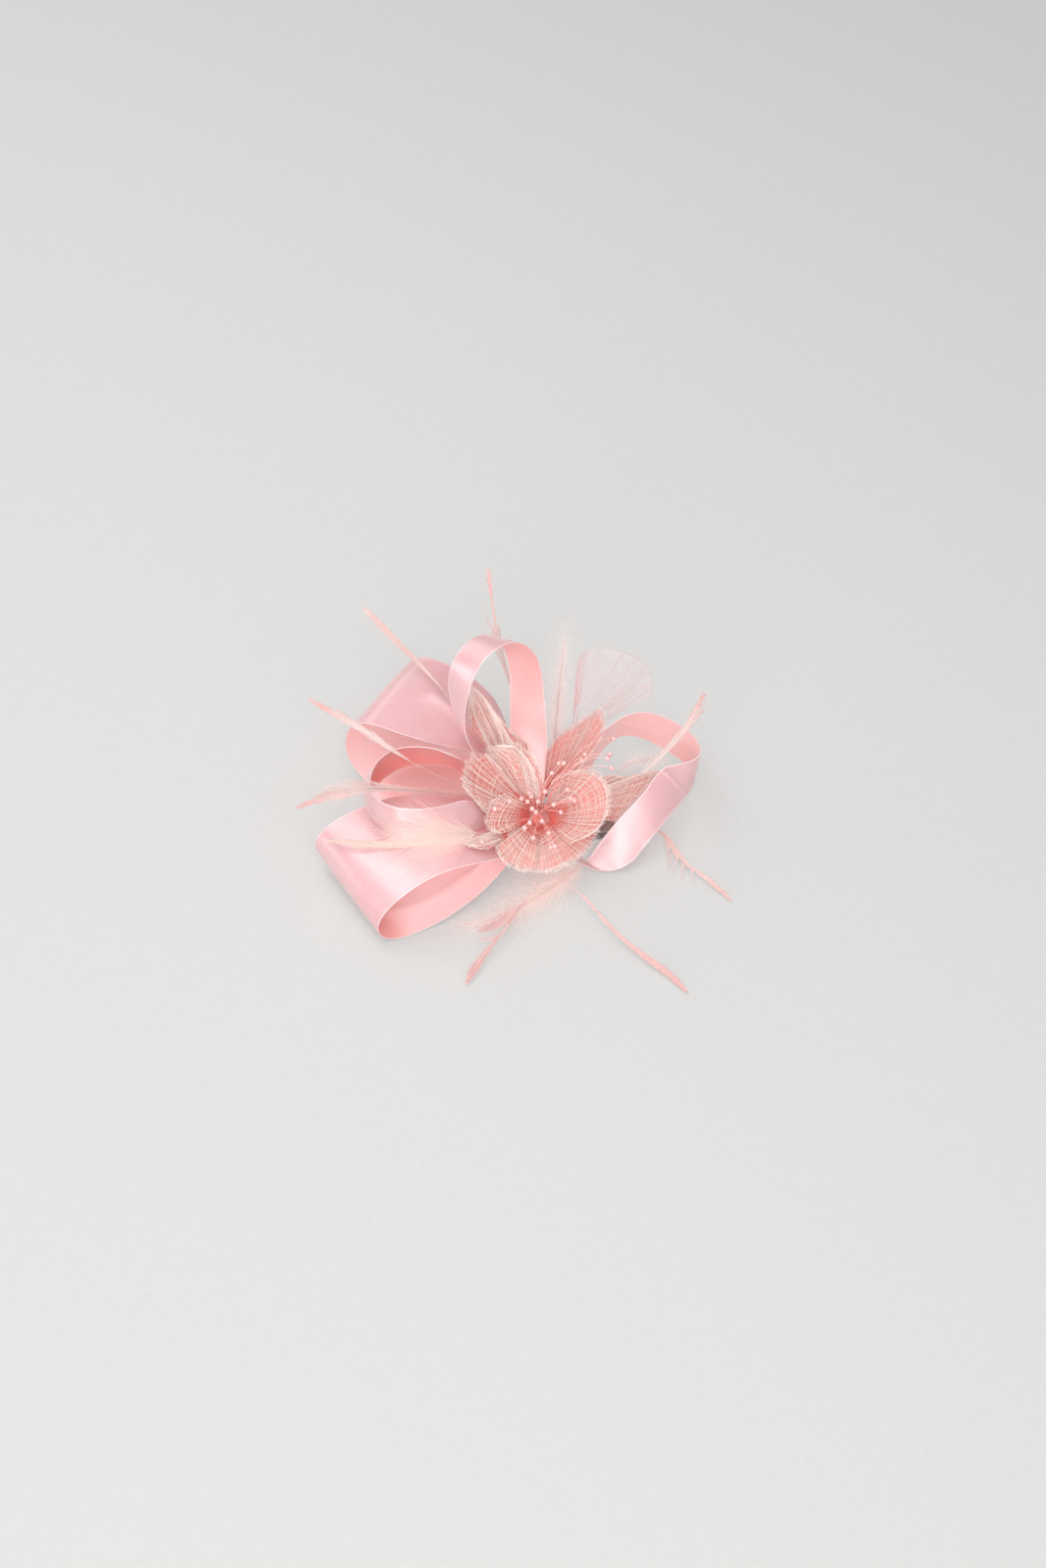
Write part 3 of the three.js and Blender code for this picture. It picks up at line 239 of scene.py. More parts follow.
def slab(grid, half, name):
    """Closed thin sheet round a grid of points (rows along, columns across); half is the half thickness per column."""
    nu, nv = grid.shape[:2]
    n = unit(np.cross(np.gradient(grid, axis=0), np.gradient(grid, axis=1)))
    h = np.broadcast_to(np.asarray(half, float), (nu, nv))[..., None]
    top, low = grid + n * h, grid - n * h
    verts = np.concatenate([top.reshape(-1, 3), low.reshape(-1, 3)])
    i, j = np.meshgrid(np.arange(nu - 1), np.arange(nv - 1), indexing="ij")
    a = (i * nv + j).ravel()
    up = np.stack([a, a + nv, a + nv + 1, a + 1], 1)
    dn = up[:, ::-1] + nu * nv
    quads, off = [up, dn], nu * nv
    i, j = np.arange(nu - 1), np.arange(nv - 1)
    e = i * nv
    quads.append(np.stack([e + nv, e, e + off, e + nv + off], 1))
    e = i * nv + nv - 1
    quads.append(np.stack([e, e + nv, e + nv + off, e + off], 1))
    quads.append(np.stack([j, j + 1, j + 1 + off, j + off], 1))
    e = (nu - 1) * nv + j
    quads.append(np.stack([e + 1, e, e + off, e + 1 + off], 1))
    return new_mesh(name, verts, np.concatenate(quads))


def put_uv(me, name, uv):
    """uv holds one pair per vertex."""
    layer = me.uv_layers.new(name=name)
    idx = np.empty(len(me.loops), np.int32)
    me.loops.foreach_get("vertex_index", idx)
    layer.data.foreach_set("uv", np.asarray(uv, np.float32)[idx].ravel())


# ------------------------------------------------------------------ materials


def srgb(r, g, b):
    f = lambda c: c / 12.92 if c <= 0.04045 else ((c + 0.055) / 1.055) ** 2.4
    return (f(r / 255), f(g / 255), f(b / 255), 1.0)


class Nodes:
    def __init__(self, name):
        self.m = bpy.data.materials.new(name)
        self.m.use_nodes = True
        self.tree = self.m.node_tree
        self.b = next(n for n in self.tree.nodes if n.type == "BSDF_PRINCIPLED")

    def new(self, kind, **kw):
        n = self.tree.nodes.new(kind)
        for k, v in kw.items():
            if hasattr(n, k):
                setattr(n, k, v)
            else:
                n.inputs[k.replace("_", " ")].default_value = v
        return n

    def link(self, a, b):
        self.tree.links.new(a, b)
        return b

    def set(self, **kw):
        for k, v in kw.items():
            self.b.inputs[k.replace("_", " ")].default_value = v

    def noise(self, coord, scale, detail=3.0, rough=0.5):
        n = self.new("ShaderNodeTexNoise")
        n.inputs["Scale"].default_value = scale
        n.inputs["Detail"].default_value = detail
        n.inputs["Roughness"].default_value = rough
        self.link(coord, n.inputs["Vector"])
        return n.outputs["Fac"]

    def ramp(self, fac, stops):
        n = self.new("ShaderNodeValToRGB")
        el = n.color_ramp.elements
        while len(el) < len(stops):
            el.new(0.5)
        for e, (p, c) in zip(el, stops):
            e.position, e.color = p, c
        self.link(fac, n.inputs["Fac"])
        return n.outputs["Color"]

    def math(self, op, a, b=0.0, c=None):
        n = self.new("ShaderNodeMath", operation=op)
        for i, x in enumerate((a, b, c)):
            if x is None:
                continue
            if isinstance(x, (int, float)):
                n.inputs[i].default_value = x
            else:
                self.link(x, n.inputs[i])
        return n.outputs[0]

    def range(self, x, a, b, c, d):
        n = self.new("ShaderNodeMapRange")
        for i, y in enumerate((a, b, c, d)):
            n.inputs[i + 1].default_value = y
        self.link(x, n.inputs[0])
        return n.outputs[0]

    def mix(self, fac, a, b, mode="MIX"):
        n = self.new("ShaderNodeMix", data_type="RGBA", blend_type=mode)
        for s, x in ((0, fac), (6, a), (7, b)):
            if isinstance(x, (int, float, tuple)):
                n.inputs[s].default_value = x
            else:
                self.link(x, n.inputs[s])
        return n.outputs[2]

    def bump(self, height, strength, distance, under=None):
        n = self.new("ShaderNodeBump")
        n.inputs["Strength"].default_value = strength
        n.inputs["Distance"].default_value = distance
        self.link(height, n.inputs["Height"])
        if under is not None:
            self.link(under, n.inputs["Normal"])
        return n.outputs["Normal"]

    def attr(self, name):
        n = self.new("ShaderNodeAttribute")
        n.attribute_name = name
        return n.outputs["Fac"]

    def object_xyz(self):
        return self.new("ShaderNodeTexCoord").outputs["Object"]

    def uv(self, name):
        n = self.new("ShaderNodeUVMap")
        n.uv_map = name
        return n.outputs["UV"]


def satin(name, light, deep, rough=0.36, under=0.0, glow=0.0):
    """Double-faced satin: fine lengthwise floats, a woven selvedge painted near-white as an edge highlight, and a slow
    drift of tone.
    """
    k = Nodes(name)
    uv, xyz = k.uv("cut"), k.object_xyz()
    part = k.new("ShaderNodeSeparateXYZ")
    k.link(uv, part.inputs[0])
    across, length = part.outputs[0], part.outputs[1]
    edge = k.attr("edge")
    threads = k.math("SINE", k.math("MULTIPLY", across, 2 * math.pi / 0.16))
    picks = k.math("SINE", k.math("ADD", k.math("MULTIPLY", length, 2 * math.pi / 0.5), k.math("MULTIPLY", across, 9.0)))
    slub = k.noise(k.scaled(uv, (9.0, 0.12, 1.0)), 1.0, 2.0)
    drift = k.noise(xyz, 55.0, 3.0)
    tone = k.math("ADD", k.math("MULTIPLY", drift, 0.75), k.math("MULTIPLY", slub, 0.35))
    colour = k.ramp(tone, [(0.28, deep), (0.78, light)])
    # the woven selvedge at both edges: its near-white colour is a painted edge highlight, its ribs are real bumps
    line = k.range(edge, 0.35, 0.62, 1.0, 0.0)
    rib = k.math("MULTIPLY", line, k.range(k.math("SINE", k.math("MULTIPLY", length, 2 * math.pi / 0.45)), -1, 1, 0.55, 1.0))
    colour = k.mix(k.math("MULTIPLY", rib, 0.4), colour, srgb(255, 240, 240))
    groove = k.math("MULTIPLY", k.range(edge, 0.45, 0.7, 0.0, 1.0), k.range(edge, 0.7, 1.0, 1.0, 0.0))
    colour = k.mix(k.math("MULTIPLY", groove, 0.30), colour, srgb(226, 150, 152))
    # painted shade: this attribute mixes a redder, darker tone into the cloth inside the loops, for light thrown back
    # there
    painted_bounce_shade = k.attr("painted_bounce_shade")
    colour = k.mix(painted_bounce_shade, colour, srgb(236, 136, 129)) if under else colour
    # painted shade: faces turned downward are mixed towards a darker red, by the amount under
    if under:
        face = k.new("ShaderNodeSeparateXYZ")
        k.link(k.new("ShaderNodeNewGeometry").outputs["Normal"], face.inputs[0])
        colour = k.mix(k.range(face.outputs[2], -0.8, 0.0, under, 0.0), colour, srgb(240, 140, 140))
        # painted light: an emission glow on faces turned upward, faint on faces turned down and where the painted
        # bounce shade lies
        k.link(k.math("MULTIPLY", k.range(face.outputs[2], -0.9, -0.3, 0.02, glow), k.range(painted_bounce_shade, 0.0, 1.0, 1.0, 0.0)), k.b.inputs["Emission Strength"])
    k.link(colour, k.b.inputs["Base Color"])
    k.link(k.range(slub, 0.3, 0.7, rough - 0.05, rough + 0.07), k.b.inputs["Roughness"])
    height = k.math("ADD", k.math("MULTIPLY", threads, 0.6), k.math("MULTIPLY", picks, 0.4))
    weave = k.bump(k.math("ADD", height, k.math("MULTIPLY", rib, 2.0)), 0.10, 0.00004)
    soft = k.bump(k.noise(xyz, 120.0, 3.0), 0.16, 0.0006, weave)
    k.link(soft, k.b.inputs["Normal"])
    tan = k.new("ShaderNodeTangent", direction_type="UV_MAP")
    tan.uv_map = "cut"
    k.link(tan.outputs[0], k.b.inputs["Tangent"])
    k.set(Anisotropic=0.35, Specular_IOR_Level=1.0, Sheen_Weight=0.15, Sheen_Roughness=0.45)
    k.set(Coat_Weight=0.9, Coat_Roughness=0.27, Subsurface_Weight=0.55, Subsurface_Scale=0.0016)
    k.b.inputs["Subsurface Radius"].default_value = (1.0, 0.55, 0.52)
    k.b.inputs["Sheen Tint"].default_value = srgb(255, 226, 228)
    return k.m


def _scaled(self, vec, s):
    n = self.new("ShaderNodeMapping")
    n.inputs["Scale"].default_value = s
    self.link(vec, n.inputs["Vector"])
    return n.outputs[0]


Nodes.scaled = _scaled


def weave(name, dark, mid, pale):
    """Stiffened open weave: matt fibre strands, darker at the foot as painted shade of the hollow where the petals
    meet, and paler at the rim.
    """
    k = Nodes(name)
    xyz = k.object_xyz()
    tone = k.attr("tone")
    fleck = k.noise(xyz, 900.0, 3.0)
    cloud = k.noise(xyz, 90.0, 2.0)
    t = k.math("ADD", tone, k.math("ADD", k.range(fleck, 0.3, 0.7, -0.09, 0.09), k.range(cloud, 0.3, 0.7, -0.06, 0.06)))
    k.link(k.ramp(t, [(0.0, dark), (0.42, mid), (0.95, pale)]), k.b.inputs["Base Color"])
    k.link(k.range(fleck, 0.3, 0.7, 0.48, 0.66), k.b.inputs["Roughness"])
    k.link(k.bump(k.noise(k.scaled(xyz, (1.0, 1.0, 1.0)), 2600.0, 2.0), 0.35, 0.00008), k.b.inputs["Normal"])
    k.set(Sheen_Weight=0.25, Sheen_Roughness=0.5, Specular_IOR_Level=0.4)
    k.b.inputs["Sheen Tint"].default_value = srgb(255, 222, 214)
    return k.m


def cloth(name, dark, mid, pale):
    """The under layer of the same weave, seen as a soft open ground between the strands."""
    k = Nodes(name)
    uv, xyz = k.uv("cut"), k.object_xyz()
    part = k.new("ShaderNodeSeparateXYZ")
    k.link(uv, part.inputs[0])
    wave = k.noise(xyz, 260.0, 2.0)
    warp = k.math("SINE", k.math("ADD", k.math("MULTIPLY", part.outputs[0], 2 * math.pi / 1.1), k.math("MULTIPLY", wave, 7.0)))
    weft = k.math("SINE", k.math("ADD", k.math("MULTIPLY", part.outputs[1], 2 * math.pi / 0.9), k.math("MULTIPLY", wave, 7.0)))
    grid = k.math("MAXIMUM", warp, weft)
    t = k.math("ADD", k.attr("tone"), k.range(grid, 0.2, 1.0, -0.10, 0.12))
    k.link(k.ramp(t, [(0.0, dark), (0.42, mid), (0.95, pale)]), k.b.inputs["Base Color"])
    k.link(k.math("MULTIPLY", k.range(grid, 0.0, 0.9, 0.40, 0.80), k.range(k.attr("thin"), 0.0, 1.0, 1.0, 0.25)), k.b.inputs["Alpha"])
    k.link(k.range(wave, 0.3, 0.7, 0.5, 0.7), k.b.inputs["Roughness"])
    k.link(k.bump(grid, 0.4, 0.0001), k.b.inputs["Normal"])
    k.set(Specular_IOR_Level=0.3)
    return k.m


def fibre(name, root, mid, tip, rough=0.62, sheen=0.35):
    """Feather barbs: colour runs from root to tip with fine streaks."""
    k = Nodes(name)
    xyz = k.object_xyz()
    streak = k.noise(xyz, 700.0, 3.0)
    t = k.math("ADD", k.attr("tone"), k.range(streak, 0.3, 0.7, -0.07, 0.07))
    k.link(k.ramp(t, [(0.05, root), (0.5, mid), (0.97, tip)]), k.b.inputs["Base Color"])
    k.link(k.range(streak, 0.3, 0.7, rough - 0.1, rough + 0.08), k.b.inputs["Roughness"])
    k.link(k.bump(streak, 0.25, 0.0001), k.b.inputs["Normal"])
    k.set(Sheen_Weight=sheen, Sheen_Roughness=0.4, Specular_IOR_Level=0.35)
    return k.m


def pearl(name):
    k = Nodes(name)
    xyz = k.object_xyz()
    swirl = k.noise(xyz, 420.0, 3.0)
    facing = k.new("ShaderNodeLayerWeight")
    facing.inputs["Blend"].default_value = 0.45
    body = k.ramp(swirl, [(0.3, srgb(232, 168, 165)), (0.7, srgb(246, 200, 195))])
    k.link(k.mix(k.math("MULTIPLY", facing.outputs["Facing"], 0.55), body, srgb(240, 176, 176)), k.b.inputs["Base Color"])
    k.link(k.range(swirl, 0.3, 0.7, 0.16, 0.26), k.b.inputs["Roughness"])
    k.set(Specular_IOR_Level=0.6, Coat_Weight=0.35, Coat_Roughness=0.12)
    return k.m


def felt(name):
    k = Nodes(name)
    xyz = k.object_xyz()
    fuzz = k.noise(xyz, 1500.0, 6.0, 0.7)
    blot = k.noise(xyz, 160.0, 3.0)
    t = k.math("ADD", k.math("MULTIPLY", fuzz, 0.6), k.math("MULTIPLY", blot, 0.4))
    k.link(k.ramp(t, [(0.3, srgb(244, 158, 150)), (0.7, srgb(255, 200, 192))]), k.b.inputs["Base Color"])
    k.link(k.range(fuzz, 0.3, 0.7, 0.82, 0.98), k.b.inputs["Roughness"])
    k.link(k.bump(fuzz, 0.7, 0.0004), k.b.inputs["Normal"])
    k.set(Sheen_Weight=0.6, Sheen_Roughness=0.6, Specular_IOR_Level=0.2)
    return k.m


def tape(name):
    k = Nodes(name)
    xyz = k.object_xyz()
    crepe = k.noise(k.scaled(xyz, (1.0, 1.0, 3.0)), 900.0, 4.0)
    k.link(k.ramp(crepe, [(0.3, srgb(230, 116, 104)), (0.7, srgb(252, 168, 158))]), k.b.inputs["Base Color"])
    k.link(k.range(crepe, 0.3, 0.7, 0.6, 0.85), k.b.inputs["Roughness"])
    k.link(k.bump(crepe, 0.6, 0.0003), k.b.inputs["Normal"])
    return k.m


def plated(name, light, dark, rough):
    """Rolled and plated strip: lengthwise brush lines, faint stains and rubbed spots."""
    k = Nodes(name)
    xyz = k.object_xyz()
    brush = k.noise(k.scaled(xyz, (90.0, 3200.0, 3200.0)), 1.0, 2.0)
    stain = k.noise(xyz, 240.0, 4.0, 0.6)
    t = k.math("ADD", k.math("MULTIPLY", brush, 0.5), k.math("MULTIPLY", stain, 0.5))
    k.link(k.ramp(t, [(0.3, dark), (0.68, light)]), k.b.inputs["Base Color"])
    k.link(k.range(t, 0.3, 0.7, rough + 0.12, rough - 0.06), k.b.inputs["Roughness"])
    k.link(k.bump(brush, 0.2, 0.00005), k.b.inputs["Normal"])
    k.set(Metallic=0.8)
    return k.m


def sheer(name, colour, alpha):
    k = Nodes(name)
    xyz = k.object_xyz()
    k.link(k.ramp(k.noise(xyz, 300.0, 3.0), [(0.3, colour), (0.7, srgb(250, 232, 232))]), k.b.inputs["Base Color"])
    k.set(Roughness=0.6, Alpha=alpha, Specular_IOR_Level=0.2)
    return k.m


SATIN = satin("satin_face", srgb(217, 176, 179), srgb(211, 162, 166), 0.30)
SATIN_BACK = satin("satin_back", srgb(246, 193, 192), srgb(242, 179, 178), 0.34)
# painted light: a lighter copy of the back satin, with its own glow and painted underside shade, for the insides of the
# two wide loops
SATIN_INNER_LIT_SHADED = satin("satin_inner_painted_light_and_shade", srgb(255, 211, 213), srgb(253, 197, 199), 0.34, 0.25, 0.15)
# painted shade: a darker copy of the back satin for the inside of the ring loop
SATIN_PAINTED_SHADE = satin("satin_painted_shade", srgb(246, 160, 157), srgb(238, 145, 142), 0.36)
for back, tint, glow in ((SATIN_BACK, srgb(255, 150, 148), 0.06), (SATIN_INNER_LIT_SHADED, srgb(255, 226, 220), 0.09)):      # light through the thin cloth
    k = back.node_tree.nodes["Principled BSDF"]
    k.inputs["Emission Color"].default_value, k.inputs["Emission Strength"].default_value = tint, glow
SINAMAY = weave("open_weave", srgb(220, 112, 101), srgb(230, 200, 194), srgb(243, 228, 222))
GROUND = cloth("open_weave_ground", srgb(212, 80, 69), srgb(205, 126, 118), srgb(219, 158, 150))
QUILL = fibre("quill_pink", srgb(240, 228, 224), srgb(240, 213, 208), srgb(236, 190, 187))
QUILL_PALE = fibre("quill_cream", srgb(246, 228, 218), srgb(246, 222, 212), srgb(244, 200, 192))
MARABOU = fibre("marabou_cream", srgb(230, 203, 196), srgb(236, 211, 204), srgb(240, 220, 214), 0.85, 0.15)
MARABOU_FAINT = fibre("marabou_thin", srgb(236, 206, 202), srgb(238, 214, 210), srgb(240, 220, 217), 0.85, 0.1)
# painted light: besides the alpha, a faint emission glow brightens the down and the barbs where they lie in shade
for down, alpha, tint, glow in ((MARABOU, 0.30, srgb(242, 204, 195), 0.05), (MARABOU_FAINT, 0.17, srgb(242, 204, 195), 0.05), (QUILL, 0.50, srgb(246, 186, 183), 0.10), (QUILL_PALE, 0.46, srgb(246, 204, 194), 0.05)):
    k = down.node_tree.nodes["Principled BSDF"]
    k.inputs["Alpha"].default_value = alpha
    k.inputs["Emission Color"].default_value, k.inputs["Emission Strength"].default_value = tint, glow
PEARL = pearl("stamen_pearl")
THREAD = fibre("stamen_thread", srgb(232, 140, 132), srgb(244, 178, 170), srgb(250, 204, 198), 0.45, 0.2)
FELT = felt("wool_felt")
TAPE = tape("floral_tape")
CLIP = plated("clip_plate", srgb(206, 205, 202), srgb(162, 161, 158), 0.24)
SPRING = plated("spring_steel", srgb(168, 168, 168), srgb(110, 110, 112), 0.32)
NET_FILM = sheer("net_haze", srgb(226, 186, 188), 0.055)
NET_THREAD = fibre("net_thread", srgb(234, 196, 198), srgb(230, 184, 187), srgb(226, 168, 172), 0.5, 0.2)
NET_THREAD.node_tree.nodes["Principled BSDF"].inputs["Alpha"].default_value = 0.7
for cover, tint, glow in ((GROUND, srgb(236, 96, 84), 0.08), (SINAMAY, srgb(240, 150, 140), 0.03)):   # light that comes through the weave
    k = cover.node_tree.nodes["Principled BSDF"]
    k.inputs["Emission Color"].default_value, k.inputs["Emission Strength"].default_value = tint, glow

# ------------------------------------------------------------------ ribbons


def ribbon(name, wide, seed, cup, waves, inside_shading=None, creases=(), ridges=(), painted_bounce_shade=None, tip_up=(), slide=()):
    """A loop of ribbon between two edge curves; its ends are gathered into pleats at the stem."""
    rng = np.random.default_rng(seed)
    N, R = RIBBONS[name]["N"], RIBBONS[name]["R"]
    nu = (len(N) - 1) * (9 if wide else 13 if creases else 10)
    ts = np.linspace(0, 1, nu + 1)
    a, b = spline(N, ts), spline(R, ts)
    if tip_up:                                      # the end of the band leans to the front: (station, rise of one edge, of the other)
        rise = [np.interp(ts * (len(N) - 1), [e[0] for e in tip_up], [e[k] for e in tip_up]) for k in (1, 2)]
        rise = [np.convolve(np.pad(e, 6, mode="edge"), np.ones(13) / 13, mode="valid")[:, None] * np.array([0.0, -1.0, 1.0]) for e in rise]
        a, b = a + rise[0], b + rise[1]
    if slide:                                       # the band bellies to the front: (station, mm)
        push = np.interp(ts * (len(N) - 1), [e[0] for e in slide], [e[1] for e in slide])
        push = np.convolve(np.pad(push, 6, mode="edge"), np.ones(13) / 13, mode="valid")[:, None] * np.array([0.0, -1.0, 0.0])
        a, b = a + push, b + push
    width = RIBBONS[name]["W"]
    inner = 26 if wide else 28 if creases else 12
    rim = np.array([0, 0.2, 0.42, 0.65])
    v = np.concatenate([rim / width, np.linspace(1.7 / width, 1 - 1.7 / width, inner), 1 - rim[::-1] / width])
    half = np.full(len(v), 0.15)
    half[[0, -1]], half[[1, 2, -2, -3]], half[[3, -4]] = 0.14, 0.19, 0.14
    grid = a[:, None] + (b - a)[:, None] * v[None, :, None]
    n = unit(np.cross(np.gradient(grid, axis=0), np.gradient(grid, axis=1)))
    mid = (a + b) / 2
    s = lengths(mid)
    total = s[-1]
    from_end = np.minimum(s, total - s)
    arch = 4 * v * (1 - v)
    away = ((grid - grid.reshape(-1, 3).mean(0)) * n).sum(-1).mean() > 0   # the first skin faces out of the loop
    lift = (cup if away else -cup) * arch[None] * smooth(from_end, 6, 40)[:, None]
    for (s0, s1, amp, count, phase) in waves:      # pleats and soft buckles, between two lengths
        fade = smooth(s, s0 - 8, s0 + 4) * (1 - smooth(s, s1 - 14, s1 + 2))
        lift = lift + (amp * fade)[:, None] * np.sin(2 * math.pi * (count * v[None] + phase)) * (0.35 + 0.65 * arch[None])
    slow = np.stack([wobble(rng, nu + 1, total / 14) for _ in range(3)], 1)
    lift = lift + 0.16 * (slow[:, :1] * (1 - v)[None] + slow[:, 1:2] * v[None] + slow[:, 2:] * np.sin(math.pi * 2 * v)[None])
    flat_s, flat_v = np.broadcast_arrays(s[:, None], v[None] * width)
    for (line, amp, reach) in list(creases) + [(l, a if away else -a, w) for (l, a, w) in ridges]:     # folds along a line of (station, share of the width)
        line = np.array(line, float)
        line = np.stack([np.interp(line[:, 0] / (len(N) - 1), ts, s), line[:, 1] * width], 1)
        off = np.full(flat_s.shape, 1e9)
        for (s0, v0), (s1, v1) in zip(line[:-1], line[1:]):
            ds, dv = s1 - s0, v1 - v0
            f = np.clip(((flat_s - s0) * ds + (flat_v - v0) * dv) / (ds * ds + dv * dv), 0, 1)
            off = np.minimum(off, np.hypot(flat_s - s0 - f * ds, flat_v - v0 - f * dv))
        lift = lift + amp * np.exp(-off / reach)
    grid = grid + n * lift[..., None]
    grid[..., 2] = np.maximum(grid[..., 2], -0.35)
    me = slab(grid, half[None], name)
    uv = np.stack([np.broadcast_to(v[None] * width, grid.shape[:2]), np.broadcast_to(s[:, None], grid.shape[:2])], -1).reshape(-1, 2)
    put_uv(me, "cut", np.concatenate([uv, uv]))
    edge = np.broadcast_to(np.minimum(v, 1 - v)[None] * width, grid.shape[:2]).ravel()
    value(me, "edge", np.concatenate([edge, edge]))
    if painted_bounce_shade:                                        # painted shade: light thrown back inside a loop is painted into the cloth there as a redder, darker tone
        station = np.broadcast_to((ts * (len(N) - 1))[:, None], grid.shape[:2])
        glow = painted_bounce_shade(station, np.broadcast_to(v[None], grid.shape[:2]), grid[..., 0], grid[..., 1], grid[..., 2]).ravel()
        value(me, "painted_bounce_shade", np.concatenate([glow, glow]))
    me.set_sharp_from_angle(angle=math.radians(50))
    # the inner skin takes the back satin unless a copy with painted light, or one with painted shade, is passed in
    ob = place(name + "_satin", me, [SATIN, inside_shading or SATIN_BACK], "satin_ribbon", name)
    skin = np.zeros(len(me.polygons), np.int32)
    one = nu * (len(v) - 1)
    skin[one : 2 * one] = 1
    if not away:
        skin[: 2 * one] = 1 - skin[: 2 * one]
    me.polygons.foreach_set("material_index", skin)
    return ob


# ------------------------------------------------------------------ petals


class Petal:
    def __init__(self, base, bulge, rim, folds=(), ruffle=0.5, seed=0):
        self.base, self.cup = np.array(base, float), np.array(bulge, float)
        self.rim = np.array(rim, float)
        self.side = unit(self.rim[-1] - self.rim[0])
        self.folds, self.ruffle = folds, ruffle
        self.phase = np.random.default_rng(seed).uniform(0, 6.28, 3)

    def at(self, u, v):
        u, v = np.broadcast_arrays(np.asarray(u, float), np.asarray(v, float))
        w = np.clip(v, 0, 1)
        p0 = self.base + self.side * ((w - 0.5) * 6.0)[:, None]
        p2 = spline(self.rim, w)
        p1 = (p0 + p2) / 2 + self.cup
        x = u[:, None]
        return p0 * (1 - x) ** 2 + 2 * p1 * x * (1 - x) + p2 * x**2

    def normal(self, u, v):
        e = 1e-3
        du = self.at(u + e, v) - self.at(u - e, v)
        dv = self.at(u, np.minimum(v + e, 1)) - self.at(u, np.maximum(v - e, 0))
        n = unit(np.cross(du, dv))
        return n * np.where(n[:, 2:] < 0, -1.0, 1.0)

    def shaped(self, u, v, offset):
        n = self.normal(u, v)
        h = offset + self.ruffle * u**2 * (np.sin(9 * v + self.phase[0]) * 0.6 + np.sin(19 * v + self.phase[1]) * 0.4)
        for (c, amp, wide) in self.folds:
            h = h - amp * np.exp(-(((v - c) / wide) ** 2)) * smooth(u, 0.15, 0.6) * (1 - 0.7 * smooth(u, 0.8, 1.0))
        return self.at(u, v) + n * h[:, None], n


